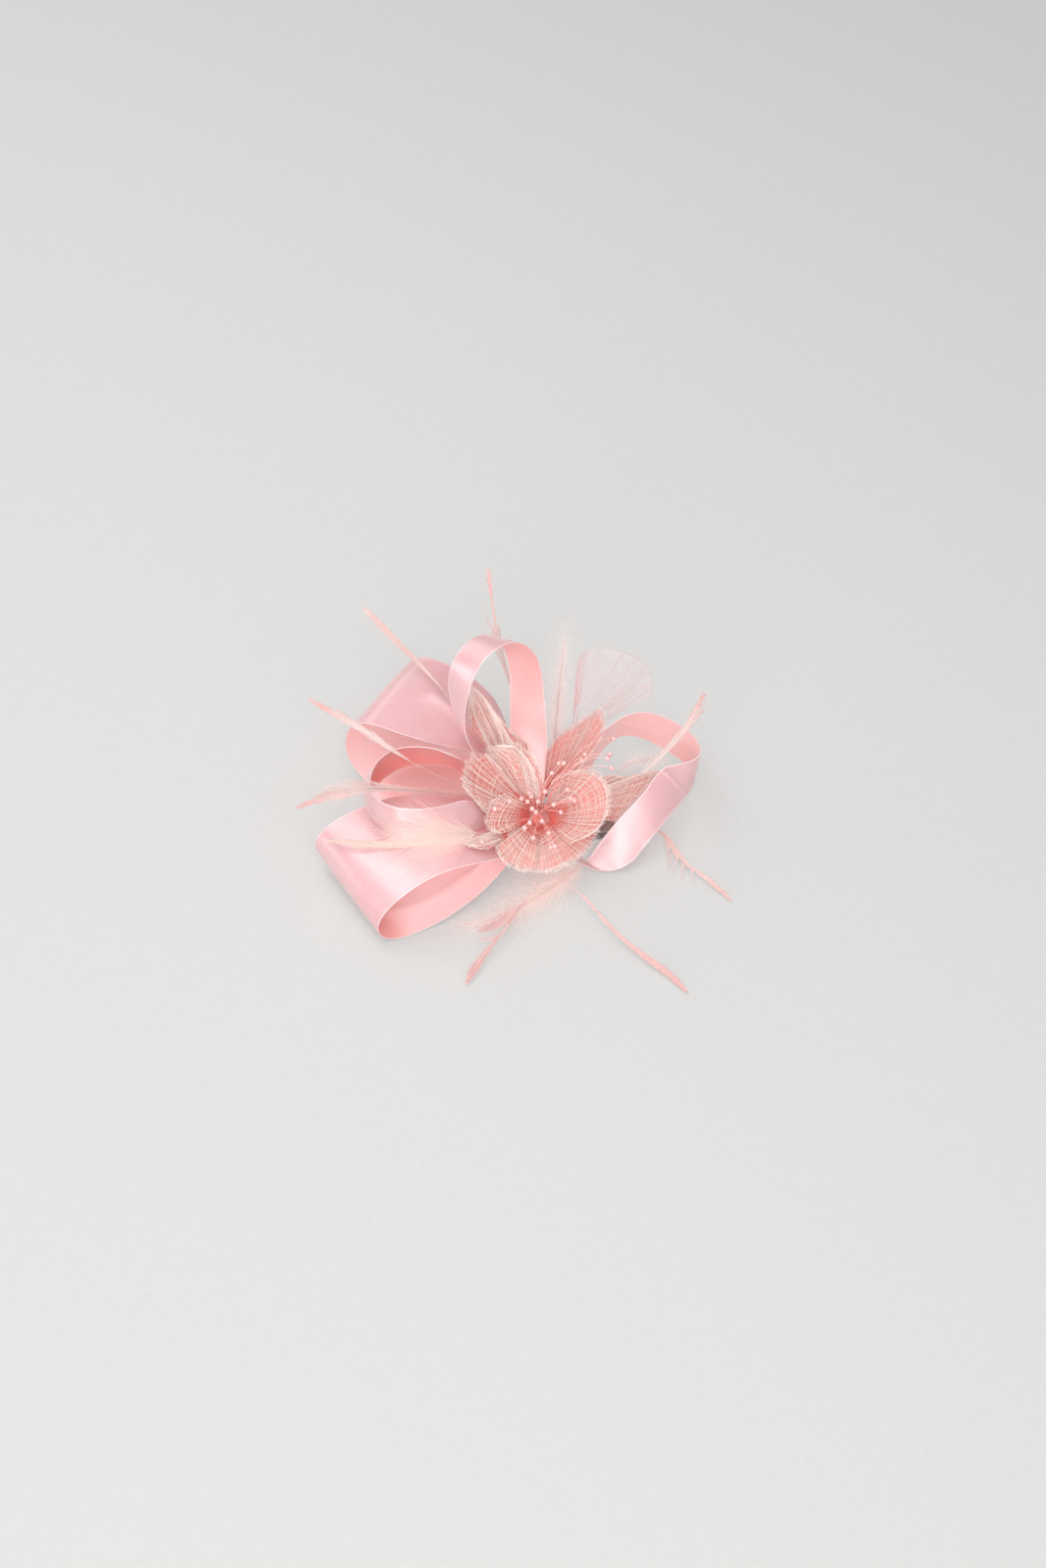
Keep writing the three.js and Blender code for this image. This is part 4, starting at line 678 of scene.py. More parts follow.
def petal(name, seed, folds=(), ruffle=0.5, pitch=1.10, r=0.15, deep=0.0, style="round", tip=0.0, tint=0.0, edge=1.0, mixed=1.0, bow=1.3):
    """Two layers of open weave: a ground sheet, strands round and along on both of its sides, and frayed ends at the rim."""
    rng = np.random.default_rng(seed)
    p = Petal(**PETALS[name], folds=folds, ruffle=ruffle, seed=seed)
    vv = np.linspace(0, 1, 61)
    rim_len = lengths(p.at(np.ones(61), vv))[-1]
    mid_len = lengths(p.at(np.linspace(0, 1, 41), np.full(41, 0.5)))[-1]
    # painted shade: the tone is darkest at the foot, in the hollow where the petals meet, and deep darkens it further
    rise = lambda u: np.clip(0.06 + 0.80 * smooth(u, 0.02, 0.62) - deep * (1 - smooth(u, 0.2, 0.6)) + tint, 0, 1)
    # ground
    nu, nv = max(int(mid_len / 0.9), 10), max(int(rim_len / 1.1), 14)
    uu, ww = np.meshgrid(np.linspace(0.02, 0.985, nu + 1), np.linspace(0.0, 1.0, nv + 1), indexing="ij")
    q, n = p.shaped(uu.ravel(), ww.ravel(), np.full(uu.size, -0.12))
    grid = q.reshape(nu + 1, nv + 1, 3)
    me = slab(grid, np.full((1, nv + 1), 0.035), name + "_ground")
    uv = np.stack([ww.ravel() * rim_len, uu.ravel() * mid_len], 1)
    put_uv(me, "cut", np.concatenate([uv, uv]))
    value(me, "tone", np.tile(np.clip(rise(uu.ravel()) - 0.16, 0, 1), 2))
    value(me, "thin", np.tile(smooth(uu.ravel(), 0.86, 0.985), 2))
    ground = place(name + "_ground", me, [GROUND], "sinamay", name)
    # strands: a warp from the foot to the rim and a weft across it that runs out at the rim
    st = Strands(3)
    pale = lambda lead: mixed * ((rng.normal(0.20, 0.13) if lead else rng.normal(0.0, 0.12)) - 0.34 * layer)
    bold = lambda lead: (r if lead else 0.70 * r) * (1 - 0.2 * layer) * rng.uniform(0.7, 1.15)
    for layer in range(2):
        lift = 0.14 if layer == 0 else -0.34
        over = lambda u, m: lift * (1 - 0.8 * np.clip(u, 0, 1) ** 8) + 0.08 * wobble(rng, m, m / 3)
        weft, warp, weft_lead, warp_lead = {"round": (1.0, 1.0, 0.45, 0.35), "long": (1.5, 0.9, 0.15, 0.6), "tip": (1.6, 1.8, 0.15, 0.2)}[style]
        askew = rng.normal(0, 0.10)
        d = rng.uniform(0.0, 0.3) + 0.5 * layer
        while d < 0.93 * mid_len:
            c = 1 - d / mid_len
            m = max(int(rim_len * c / 1.0), 10)
            v = np.linspace(0, 1, m)
            u = c / np.cos((v - 0.5) * bow) + askew * (v - 0.5) + (wobble(rng, m, m / 3) * 0.35 + wobble(rng, m, m / 8) * 0.5) * pitch / mid_len
            a, b = (0.0, 1.0) if rng.random() > 0.4 else (rng.uniform(0, 0.35), rng.uniform(0.65, 1.0))
            run = np.flatnonzero((u < 1.008) & (v >= a) & (v <= b))
            if len(run) >= 5:
                run = np.arange(run[0], run[-1] + 1)
                u, v = np.clip(u[run], 0.02, 1.008), v[run]
                q, n = p.shaped(u, v, over(u, len(run)))
                lead = rng.random() < weft_lead
                st.add(q, bold(lead), up=n, flat=0.85, tone=np.clip(rise(u) + pale(lead), 0, 1))
            d += pitch * weft * (1 + 0.9 * layer) * rng.uniform(0.65, 1.25)
        count = max(int(rim_len / (pitch * warp * (1 + 0.9 * layer))), 6)
        for i in range(count + 1):                   # from the foot to the rim, with frayed ends
            v0 = np.clip((i + 0.5 * layer * (i < count)) / count + rng.normal(0, 0.25) / count, 0, 1)
            start = (0.03, 0.30, 0.14, 0.22)[i % 4]
            if rng.random() < 0.06 and 0 < i < count:
                continue
            m = max(int(mid_len * (1 - start) / 1.1), 5)
            u = np.linspace(start, 1.0 + rng.uniform(-0.8, 1.4) / mid_len, m)
            v = np.clip(v0 + (wobble(rng, m, m / 3) * 0.35 + wobble(rng, m, m / 8) * 0.6) / count * u + rng.normal(0, 0.9) / count * u, 0, 1)
            q, n = p.shaped(u, v, over(u, m) - 0.06)
            lead = rng.random() < warp_lead
            st.add(q, bold(lead), up=n, flat=0.85, tone=np.clip(rise(u) + pale(lead), 0, 1))
        if style == "tip":                           # out of the pointed end and down to the foot
            count = int(rim_len / ((1.0 + 0.4 * layer) * pitch))
            for i in range(count + 1):
                end = np.clip((i + 0.5 * layer) / count + rng.normal(0, 0.25) / count, 0, 1)
                m = max(int(mid_len * 1.3 / 1.2), 8)
                x = np.linspace(rng.uniform(0.0, 0.3), rng.uniform(0.88, 0.99), m)
                v = np.clip(tip + (end - tip) * (1 - (1 - x) ** 2) + (wobble(rng, m, m / 3) * 0.35 + wobble(rng, m, m / 8) * 0.4) / count, 0, 1)
                u = np.clip(1.0 - x**2.1 + wobble(rng, m, m / 4) * 0.012, 0.02, 1.01)
                q, n = p.shaped(u, v, over(u, m))
                st.add(q, bold(True), up=n, flat=0.85, tone=np.clip(rise(u) + pale(True), 0, 1))
    for i in range(max(int(rim_len / 6.0), 4)):      # short runs that double the rim
        a = rng.uniform(-0.1, 0.85)
        v = np.clip(np.linspace(a, a + rng.uniform(0.15, 0.4), 16), 0, 1)
        v = v[np.concatenate([[True], np.diff(v) > 1e-6])]
        if len(v) < 5:
            continue
        u = 1 - rng.uniform(0.0, 2.8) / mid_len + wobble(rng, len(v), 4) * 0.25 / mid_len
        q, n = p.shaped(u, v, 0.1 * rng.normal(size=len(v)))
        st.add(q, 0.8 * r * edge, up=n, flat=0.85, tone=np.clip(rise(u) + 0.02 * mixed, 0, 1))
    for i in range(max(int(rim_len / 0.9), 8)):      # loose ends that stick out of the rim
        m = 4
        u = np.linspace(0.93, 1.0 + rng.uniform(0.2, 1.6) / mid_len, m)
        v = np.clip(rng.random() + rng.normal(0, 0.6) / rim_len * np.arange(m), 0, 1)
        q, n = p.shaped(u, v, 0.15 * rng.normal(size=m))
        st.add(q, 0.09, up=n, tone=np.clip(rise(u) + 0.1, 0, 1))
    for v0 in (0.0, 1.0):                            # the two cut sides, rolled
        m = max(int(mid_len / 1.2), 6)
        u = np.linspace(0.03, 1.0, m)
        q, n = p.shaped(u, np.full(m, v0), np.zeros(m))
        st.add(q, 0.6 * r * edge, up=n, tone=rise(u))
    strands = place(name + "_weave", st.mesh(name), [SINAMAY], "sinamay")
    ground.visible_shadow = False
    return strands


# ------------------------------------------------------------------ stamens


def ball(centre, r, rng, rings=7, spokes=12):
    axis = unit(rng.normal(size=3))
    x = unit(np.cross(axis, [0.3, 0.5, 0.8]))
    y = np.cross(axis, x)
    verts = [centre + axis * r * 0.96]
    for i in range(1, rings):
        a = math.pi * i / rings
        for j in range(spokes):
            b = 2 * math.pi * j / spokes
            verts.append(centre + r * (axis * math.cos(a) * 0.97 + (x * math.cos(b) + y * math.sin(b)) * math.sin(a)))
    verts.append(centre - axis * r * 0.96)
    quads, tris = [], []
    for i in range(rings - 2):
        for j in range(spokes):
            a, b = 1 + i * spokes + j, 1 + i * spokes + (j + 1) % spokes
            quads.append((a, a + spokes, b + spokes, b))
    last = len(verts) - 1
    for j in range(spokes):
        tris.append((0, 1 + j, 1 + (j + 1) % spokes))
        e = 1 + (rings - 2) * spokes
        tris.append((last, e + (j + 1) % spokes, e + j))
    return np.array(verts), np.array(quads), np.array(tris)


def stamens(name, seed):
    rng = np.random.default_rng(seed)
    d = STAMENS[name]
    root, lift = np.array(d["root"], float), d["lift"]
    st = Strands(5)
    st.add(np.linspace(root - [0, 0, 0.7], root + [0, 0, 0.7], 5), np.array([0.35, 0.62, 0.7, 0.6, 0.3]), tone=0.15)
    balls = []
    for p in np.array(d["pearls"], float):
        mid = root + (p - root) * 0.45
        mid[2] += lift * np.linalg.norm(p - root)
        t = np.linspace(0, 1, 13)[:, None]
        path = root * (1 - t) ** 2 + 2 * mid * t * (1 - t) + p * t**2
        for extra in (0, 1):         # two twisted plies
            turn = np.linspace(0, 20, 13) + math.pi * extra
            f = unit(np.cross(tangents(path), [0.0, 0.2, 1.0]))
            g = np.cross(tangents(path), f)
            st.add(path + 0.08 * (f * np.cos(turn)[:, None] + g * np.sin(turn)[:, None]), 0.11, tone=np.linspace(0.2, 0.95, 13))
        balls.append(ball(p, 1.06 * rng.uniform(0.94, 1.04), rng))
        tip = unit((p - path[-3])[None])[0]
        st.add(np.array([p + tip * 0.95, p + tip * 1.25, p + tip * 1.36]), np.array([0.22, 0.2, 0.08]), tone=0.6)
    verts, quads, tris = [np.concatenate(st.v)], [np.concatenate(st.q)], [np.concatenate(st.t)]
    nq_thread, nt_thread, base = len(quads[0]), len(tris[0]), len(verts[0])
    for (bv, bq, bt) in balls:
        verts.append(bv)
        quads.append(bq + base)
        tris.append(bt + base)
        base += len(bv)
    q, t = np.concatenate(quads), np.concatenate(tris)
    me = new_mesh(name, np.concatenate(verts), q, t)
    value(me, "tone", np.concatenate([np.concatenate(st.tone), np.full(base - len(verts[0]), 0.8)]))
    index = np.concatenate([np.where(np.arange(len(q)) < nq_thread, 1, 0), np.where(np.arange(len(t)) < nt_thread, 1, 0)])
    ob = place(name + "_beads", me, [PEARL, THREAD], "pearl", name)
    me.polygons.foreach_set("material_index", index.astype(np.int32))
    return ob


# ------------------------------------------------------------------ feathers

FACING = np.array([0.0, -math.sqrt(0.5), math.sqrt(0.5)])


def feather(name, seed, material, vane, tones, clumps=(), lean=19.0, fluff=(), gap=0.12, stray=2.0, puff=1.45):
    """Shaft with barbs. vane: (place, half width on the left, on the right); clumps: barbs that stand off together."""
    rng = np.random.default_rng(seed)
    n = 90
    path = along(FEATHERS[name]["path"], n)
    t = np.linspace(0, 1, n + 1)
    tan = tangents(path)
    side = unit(np.cross(tan, FACING))
    face = np.cross(side, tan)
    total = lengths(path)[-1]
    vane, tones = np.array(vane, float), np.array(tones, float)
    shade = lambda x: np.interp(x, tones[:, 0], tones[:, 1])
    pos = lambda x: np.array([np.interp(x, t, path[:, a]) for a in range(3)])
    dirs = lambda x, m: unit(np.array([np.interp(x, t, m[:, a]) for a in range(3)])[None])[0]
    st = Strands(3)
    st.add(path, 0.22 * (1 - t) ** 0.8 + 0.05, up=face, tone=shade(t))

    def barb(x, sgn, length, angle, r, curl, deeper):
        p, d, s, f = pos(x), dirs(x, tan), dirs(x, side), dirs(x, face)
        u = np.linspace(0, 1, 6)
        a = math.radians(angle) * (1 - curl * u)
        step = np.cos(a)[:, None] * d + np.sin(a)[:, None] * s * sgn
        line = p + np.concatenate([[np.zeros(3)], np.cumsum((step[1:] + step[:-1]) / 2 * length / 5, axis=0)])
        line = line + f * (rng.normal(0, 0.10) * length * 0.2 * u**2)[:, None] * 0.6
        ahead = x + u * length * math.cos(math.radians(angle)) / total
        st.add(line, r * (1 - 0.7 * u), up=f, flat=0.5, tone=np.clip(shade(np.minimum(ahead, 1)) + deeper, 0, 1))

    for sgn, column in ((-1, 1), (1, 2)):
        x, turn, left = vane[0, 0], 0.0, 0
        while x < 0.985:
            if left <= 0:
                left = rng.integers(4, 12)
                turn = rng.normal(0, stray)
                if rng.random() < gap:
                    x += rng.uniform(0.4, 1.6) / total
            h = float(np.interp(x, vane[:, 0], vane[:, column])) * puff * rng.uniform(0.8, 1.1)
            ang = max(lean + turn + rng.normal(0, 1.3), 8.0)
            if h > 0.12 and x < 0.985:
                barb(x, sgn, h / math.sin(math.radians(ang)), ang, 0.14, 0.25, rng.normal(0, 0.07))
            x += rng.uniform(0.16, 0.27) / total
            left -= 1
    for (x0, x1, sgn, len0, len1, ang0, ang1, count, *bend) in clumps:
        for i in range(count):
            f = i / max(count - 1, 1)
            barb(x0 + (x1 - x0) * f, sgn, (len0 + (len1 - len0) * f) * rng.uniform(0.88, 1.04), ang0 + (ang1 - ang0) * f + rng.normal(0, 1.2), 0.14, bend[0] if bend else 0.22, rng.normal(0.06, 0.06))
    for (x0, x1, sgn, count, len0, len1, ang0, ang1) in fluff:      # down at the foot of the vane
        for _ in range(count):
            barb(rng.uniform(x0, x1), sgn or rng.choice([-1, 1]), rng.uniform(len0, len1), rng.uniform(ang0, ang1), 0.06, rng.uniform(-0.3, 0.7), -0.1)
    return place(name + "_barbs", st.mesh(name), [material], "quill_feather", name)


def plume(name, seed, count, reach, spread, droop, r=0.055, back=0.0, tilt=(0, 0, 0), floor=None, material=None, late=1.3, root=(0, 0, 11)):
    """Marabou: a soft quill with long drifting down on every side."""
    rng = np.random.default_rng(seed)
    path = along(PLUMES[name]["path"], 60)
    t = np.linspace(0, 1, 61)
    tan = tangents(path)
    side = unit(np.cross(tan, FACING))
    face = np.cross(side, tan)
    st = Strands(3)
    st.add(path, 0.14 * (1 - t) + 0.04, up=face, tone=0.5)
    foot, w = np.array(root, float), np.linspace(0, 1, 9)[:, None]      # bare quill down to the base
    st.add(foot + (path[0] - foot) * w - np.array([0, 0, 3.0]) * w * (1 - w), 0.16, tone=0.4)
    for _ in range(count):
        x = rng.beta(1.0, late) * 0.97
        i = min(int(x * 60), 59)
        p = path[i] + (path[i + 1] - path[i]) * (x * 60 - i)
        around = rng.uniform(0, 2 * math.pi)
        out = side[i] * math.cos(around) + face[i] * math.sin(around) * 0.5
        a = math.radians(abs(rng.normal(spread, spread * 0.45)))
        head = -1.0 if rng.random() < back else 1.0
        d = unit((tan[i] * math.cos(a) * head + out * math.sin(a) + np.array(tilt))[None])[0]
        length = reach * (1 - 0.45 * x) * rng.uniform(0.5, 1.1)
        m = 8
        u = np.linspace(0, 1, m)[:, None]
        bend = unit(rng.normal(size=(1, 3)))[0] * rng.uniform(0.05, 0.28) + np.array([0, 0, -droop])
        line = p + length * (d * u + bend * u**2 * 0.8)
        line = line + np.stack([wobble(rng, m, 4) for _ in range(3)], 1) * 0.35 * u
        if floor is not None:
            line[:, 2] = np.maximum(line[:, 2], floor + 0.4 * rng.random())
        st.add(line, r * (1 - 0.75 * u[:, 0]) * rng.uniform(0.7, 1.2), tone=np.clip(0.3 + 0.6 * u[:, 0] + rng.normal(0, 0.12), 0, 1))
    ob = place(name + "_down", st.mesh(name), [material or MARABOU], "marabou", name)
    ob.visible_shadow = False
    return ob


# ------------------------------------------------------------------ net


def net(name):
    """A fan of sheer net gathered at its foot: a haze, hanging folds and a bound rim."""
    p = Petal(**NETS[name], folds=(), ruffle=1.6, seed=7)
    rng = np.random.default_rng(7)
    vv = np.linspace(0, 1, 81)
    rim_len = lengths(p.at(np.ones(81), vv))[-1]
    nu, nv = 36, 72
    uu, ww = np.meshgrid(np.linspace(0.02, 1.0, nu + 1), np.linspace(0, 1, nv + 1), indexing="ij")
    q, n = p.shaped(uu.ravel(), ww.ravel(), np.zeros(uu.size))
    grid = q.reshape(nu + 1, nv + 1, 3)
    film = place(name + "_haze", slab(grid, np.full((1, nv + 1), 0.02), name), [NET_FILM], "net", name)
    st = Strands(3)
    for u0 in np.concatenate([np.arange(0.16, 0.97, 0.045), [1.0]]):
        m = max(int(rim_len * u0 / 1.1), 10)
        v = np.linspace(0, 1, m)
        u = np.full(m, u0) + 0.004 * wobble(rng, m, m / 4)
        q, n = p.shaped(np.minimum(u, 1.0), v, np.zeros(m))
        st.add(q, (0.05 + 0.05 * np.clip(wobble(rng, m, 9), -0.6, 1)) if u0 == 1.0 else 0.03, tone=0.95 if u0 == 1.0 else 0.4)
    count = int(rim_len / 1.5)
    for i in range(count + 1):
        fold = rng.random() < 0.36                  # a fold shows as a heavier line
        m = 26
        u = np.linspace(0.05 if i % 3 == 0 else 0.35, 1.0, m)
        v = np.clip(i / count + wobble(rng, m, 5) * 0.35 / count, 0, 1)
        q, n = p.shaped(u, v, np.zeros(m))
        st.add(q, (0.10 + 0.05 * np.clip(wobble(rng, m, 6), -1, 1)) if fold else 0.045, tone=0.9 if fold else 0.4)
    threads = place(name + "_threads", st.mesh(name + "_threads"), [NET_THREAD], "net")
    film.visible_shadow = threads.visible_shadow = False


# ------------------------------------------------------------------ felt and stem


def felt_disc():
    lo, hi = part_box("felt_base")
    c = np.array([(lo.x + hi.x) / 2, (lo.y + hi.y) / 2]) / MM
    rad, z0, z1 = (hi.x - lo.x) / 2 / MM, lo.z / MM, hi.z / MM
    rng = np.random.default_rng(31)
    spokes, ring = 96, []
    ragged = 1 + 0.006 * wobble(rng, spokes, 40)
    prof = [(0.0, z0)] + [(x, z0) for x in (0.2, 0.4, 0.6, 0.8, 0.93)] + [(0.978, z0 + 0.15), (1.0, z0 + 0.5), (1.0, z1 - 0.5), (0.978, z1 - 0.15)]
    prof += [(x, z1) for x in (0.93, 0.8, 0.6, 0.4, 0.2)] + [(0.0, z1)]
    verts, quads, tris = [[c[0], c[1], z0]], [], []
    for (f, z) in prof[1:-1]:
        a = np.arange(spokes) * 2 * math.pi / spokes
        rr = rad * f * (ragged if f > 0.9 else 1)
        zz = z + (0.05 if 0.15 < f < 0.97 else 0.0) * rng.uniform(-1, 1, spokes)
        verts += np.stack([c[0] + rr * np.cos(a), c[1] + rr * np.sin(a), zz], 1).tolist()
    verts.append([c[0], c[1], z1])
    rings = len(prof) - 2
    for i in range(rings - 1):
        for j in range(spokes):
            p, q = 1 + i * spokes + j, 1 + i * spokes + (j + 1) % spokes
            quads.append((p, q, q + spokes, p + spokes))
    last = len(verts) - 1
    for j in range(spokes):
        tris.append((0, 1 + (j + 1) % spokes, 1 + j))
        e = 1 + (rings - 1) * spokes
        tris.append((last, e + j, e + (j + 1) % spokes))
    me = new_mesh("felt_base", np.array(verts), quads, tris)
    ob = place("felt_base_wool", me, [FELT], "felt", "felt_base")
    fuzz = Strands(3)
    for _ in range(420):
        a, f = rng.uniform(0, 2 * math.pi), rng.choice([1.0, rng.uniform(0.3, 1.0)])
        z = rng.uniform(z0 + 0.3, z1 - 0.3) if f == 1.0 else rng.choice([z0, z1])
        p = np.array([c[0] + rad * f * math.cos(a), c[1] + rad * f * math.sin(a), z])
        out = np.array([math.cos(a), math.sin(a), 0.0]) if f == 1.0 else np.array([0, 0, 1.0 if z == z1 else -1.0]) * 0.12
        d = out * rng.uniform(0.2, 0.6) + rng.normal(0, 0.25, 3) * (1.0 if f == 1.0 else np.array([1, 1, 0.15]))
        u = np.linspace(0, 1, 4)[:, None]
        fuzz.add(p + d * u + rng.normal(0, 0.12, 3) * u**2 * np.array([1, 1, 0.2]), 0.03, tone=0.5)
    place("felt_base_fuzz", fuzz.mesh("felt_fuzz"), [FELT], "felt")


def stem():
    lo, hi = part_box("stem_binding")
    cx, cy = (lo.x + hi.x) / 2 / MM, (lo.y + hi.y) / 2 / MM
    rad, z0, z1 = (hi.x - lo.x) / 2 / MM, lo.z / MM, hi.z / MM
    spokes, rows = 48, 60
    verts, quads, tris = [[cx, cy, z0]], [], []
    for i in range(rows + 1):
        z = z0 + (z1 - z0) * i / rows
        for j in range(spokes):
            a = 2 * math.pi * j / spokes
            turn = ((z - z0) / 1.5 + j / spokes) % 1.0          # overlapping spiral wraps
            rr = rad * (0.90 + 0.10 * (1 - turn) ** 0.6) + 0.03 * math.sin(11 * a + z * 5)
            end = min(1.0, 0.82 + 1.2 * min(i, rows - i) / rows * 4)
            verts.append([cx + rr * end * math.cos(a), cy + rr * end * math.sin(a), z])
    verts.append([cx, cy, z1])
    for i in range(rows):
        for j in range(spokes):
            p, q = 1 + i * spokes + j, 1 + i * spokes + (j + 1) % spokes
            quads.append((p, q, q + spokes, p + spokes))
    last = len(verts) - 1
    for j in range(spokes):
        tris.append((0, 1 + (j + 1) % spokes, 1 + j))
        e = 1 + rows * spokes
        tris.append((last, e + j, e + (j + 1) % spokes))
    place("stem_binding_tape", new_mesh("stem_binding", np.array(verts), quads, tris), [TAPE], "floral_tape", "stem_binding")


# ------------------------------------------------------------------ the clip's metal


def metal():
    for node, m in (("clip_upper_jaw", CLIP), ("clip_lower_jaw", CLIP), ("clip_pivot_pin", CLIP), ("clip_spring", SPRING)):
        ob = frame["nodes"][node] if isinstance(frame["nodes"], dict) else bpy.data.objects[node]
        if isinstance(ob, str):
            ob = bpy.data.objects[ob]
        ob.data.materials.clear()
        ob.data.materials.append(m)
        if node != "clip_spring":
            soft = ob.modifiers.new("worn_edges", "BEVEL")
            soft.width, soft.segments, soft.limit_method, soft.angle_limit = 0.00014, 2, "ANGLE", math.radians(40)


# ------------------------------------------------------------------ camera, floor and light

cam = bpy.data.objects.new("camera", bpy.data.cameras.new("camera"))
bpy.context.scene.collection.objects.link(cam)
cam.location = (-0.00604, -0.754596, 0.784796)
cam.data.lens, cam.data.sensor_width, cam.data.sensor_fit = 60, 36, "AUTO"
aim = Vector((-0.00604, 0.031, -0.0008)) - cam.location
cam.rotation_euler = aim.to_track_quat("-Z", "Y").to_euler()
cam.data.clip_start, cam.data.clip_end = 0.01, 20
bpy.context.scene.camera = cam


def floor():
    k = Nodes("floor_paper")
    grain = k.noise(k.object_xyz(), 600.0, 3.0)
    k.link(k.ramp(grain, [(0.3, srgb(150, 149, 148)), (0.7, srgb(154, 153, 152))]), k.b.inputs["Base Color"])
    k.set(Roughness=0.9, Specular_IOR_Level=0.1, Emission_Strength=0.326)
    k.b.inputs["Emission Color"].default_value = (1.0, 0.99, 0.975, 1)
    me = bpy.data.meshes.new("floor")
    s, z = 5.0, -0.0009
    me.from_pydata([(-s, -s, z), (s, -s, z), (s, s, z), (-s, s, z)], [], [(0, 1, 2, 3)])
    ob = bpy.data.objects.new("floor", me)
    bpy.context.scene.collection.objects.link(ob)
    me.materials.append(k.m)


def area(name, at, to, size, power, colour=(1, 1, 1)):
    d = bpy.data.lights.new(name, "AREA")
    d.shape, d.size, d.size_y = "RECTANGLE", size[0], size[1]
    d.energy, d.color = power, colour
    ob = bpy.data.objects.new(name, d)
    bpy.context.scene.collection.objects.link(ob)
    ob.location = at
    ob.rotation_euler = (Vector(to) - Vector(at)).to_track_quat("-Z", "Y").to_euler()


def light():
    world = bpy.data.worlds.new("studio")
    bpy.context.scene.world = world
    world.use_nodes = True
    bg = next(n for n in world.node_tree.nodes if n.type == "BACKGROUND")
    bg.inputs["Color"].default_value = (1.0, 0.995, 0.985, 1)
    bg.inputs["Strength"].default_value = 0.32
    area("ceiling", (-0.12, 0.05, 1.0), (-0.05, 0.0, 0.0), (1.5, 1.35), 3.95)
    area("left_top", (-0.48, 0.10, 0.95), (0.02, 0.02, 0.02), (0.3, 0.3), 0.3)
    area("front_left_top", (-0.25, -0.36, 0.98), (0.02, -0.01, 0.02), (0.7, 0.6), 2.9)
    area("back_left_low", (-0.49, 0.98, 0.42), (-0.03, 0.03, 0.05), (0.45, 0.3), 0.6)
    area("front_left_low", (-0.45, -1.10, 0.30), (-0.05, -0.02, 0.03), (0.35, 0.35), 2.1)
    area("key", (-0.42, 0.38, 0.95), (-0.02, 0.02, 0.03), (0.6, 1.0), 4.0)
    area("front_top", (0.05, -0.85, 0.95), (0, 0, 0.02), (0.7, 0.55), 4.6)
    area("front_low", (0.15, -1.15, 0.42), (0.02, 0, 0.02), (1.4, 0.6), 5.2)
    area("left", (-1.2, 0.35, 0.30), (-0.03, 0.03, 0.05), (0.5, 0.4), 2.0)
    bpy.context.scene.view_settings.view_transform = "Standard"


floor()
light()

# ------------------------------------------------------------------ make everything

# painted shade: both wide loops get a redder, darker tone painted inside them, where light is thrown back
ribbon("front_left_loop", True, 1, 0.5, [(0, 46, 1.1, 1.5, 0.1), (112, 196, 1.2, 1.3, 0.3)], SATIN_INNER_LIT_SHADED, ridges=[([(13.8, 0.30), (16.0, 0.26), (18.6, 0.30)], -2.2, 3.2), ([(1.0, 0.35), (2.6, 0.30), (4.6, 0.22)], 0.9, 3.0)],
       painted_bounce_shade=lambda s, v, x, y, z: np.maximum(0.6 * smooth(s, 7.5, 10.0) * (1 - smooth(s, 13.2, 15.2)), smooth(s, 13.0, 15.0) * (0.22 * (1 - smooth(v, 0.02, 0.16)) + 0.32 * smooth(v, 0.42, 0.62))))
ribbon("back_left_loop", True, 2, 0.5, [(0, 50, 1.1, 1.6, 0.4), (130, 220, 1.0, 1.5, 0.1)], SATIN_INNER_LIT_SHADED, slide=[(15.9, 0), (16.6, 3.2), (17.2, 5.6), (18, 5.0), (19, 1.8), (20.2, 0)], ridges=[([(2.4, 0.2), (3.75, 0.33), (5.0, 0.48), (6.2, 0.55)], 1.5, 4.5), ([(3.6, 0.34), (5.0, 0.49), (6.2, 0.56)], 0.6, 1.4)], 
       painted_bounce_shade=lambda s, v, x, y, z: 0.5 * (1 - smooth(np.hypot((x + 43.0) / 25.0, (y - 26.0) / 19.0), 0.72, 1.12)) * (1 - smooth(z, 6.0, 10.0)))
ribbon("ring_loop", False, 3, 2.6, [], SATIN_PAINTED_SHADE)
ribbon("arch_loop", False, 4, 0.15, [])
ribbon("right_loop", False, 5, 0.15, [], tip_up=[(20.5, 0, 0), (22, 1.2, 0), (23, 1.9, -0.3), (24, 2.6, -1.6), (25, 2.2, -2.2), (26, 0.8, -1.6), (27, 0, 0)], creases=[([(4, 0.3), (5, 0.56), (6.3, 0.65), (8, 0.745), (8.8, 0.76), (10.4, 0.97)], -0.3, 0.45), ([(17.2, 0.0), (15.2, 1.0)], 0.4, 0.6)])

petal("petal_upper", 11, [(0.40, 1.5, 0.06)], 0.6, style="tip", tip=0.0)
petal("petal_left", 12, [(0.45, 0.8, 0.06)], 0.6, style="long", tint=-0.20)
petal("petal_lower_left", 13, [], 0.4, deep=0.25)
petal("petal_front_left", 14, [(0.6, 0.6, 0.06)], 0.5, tint=0.10)
petal("petal_front_right", 15, [(0.35, 0.6, 0.05)], 0.4, tint=0.10)
petal("petal_right", 16, [(0.24, 1.4, 0.03)], 0.6, tint=-0.07)
petal("petal_back", 17, [(0.4, 0.8, 0.05)], 0.6, pitch=0.9, r=0.12, style="long", tint=-0.40, edge=0.5, mixed=0.6)
petal("petal_back_left", 18, [(0.2, 1.6, 0.05), (0.42, 1.8, 0.05), (0.66, 1.4, 0.05)], 0.5, style="tip", tip=0.33, tint=-0.08)
petal("petal_back_right", 19, [], 0.4, tint=-0.04)
petal("petal_tip", 20, [], 0.2, style="tip", tip=0.5)

for i, name in enumerate(STAMENS):
    stamens(name, 40 + i)

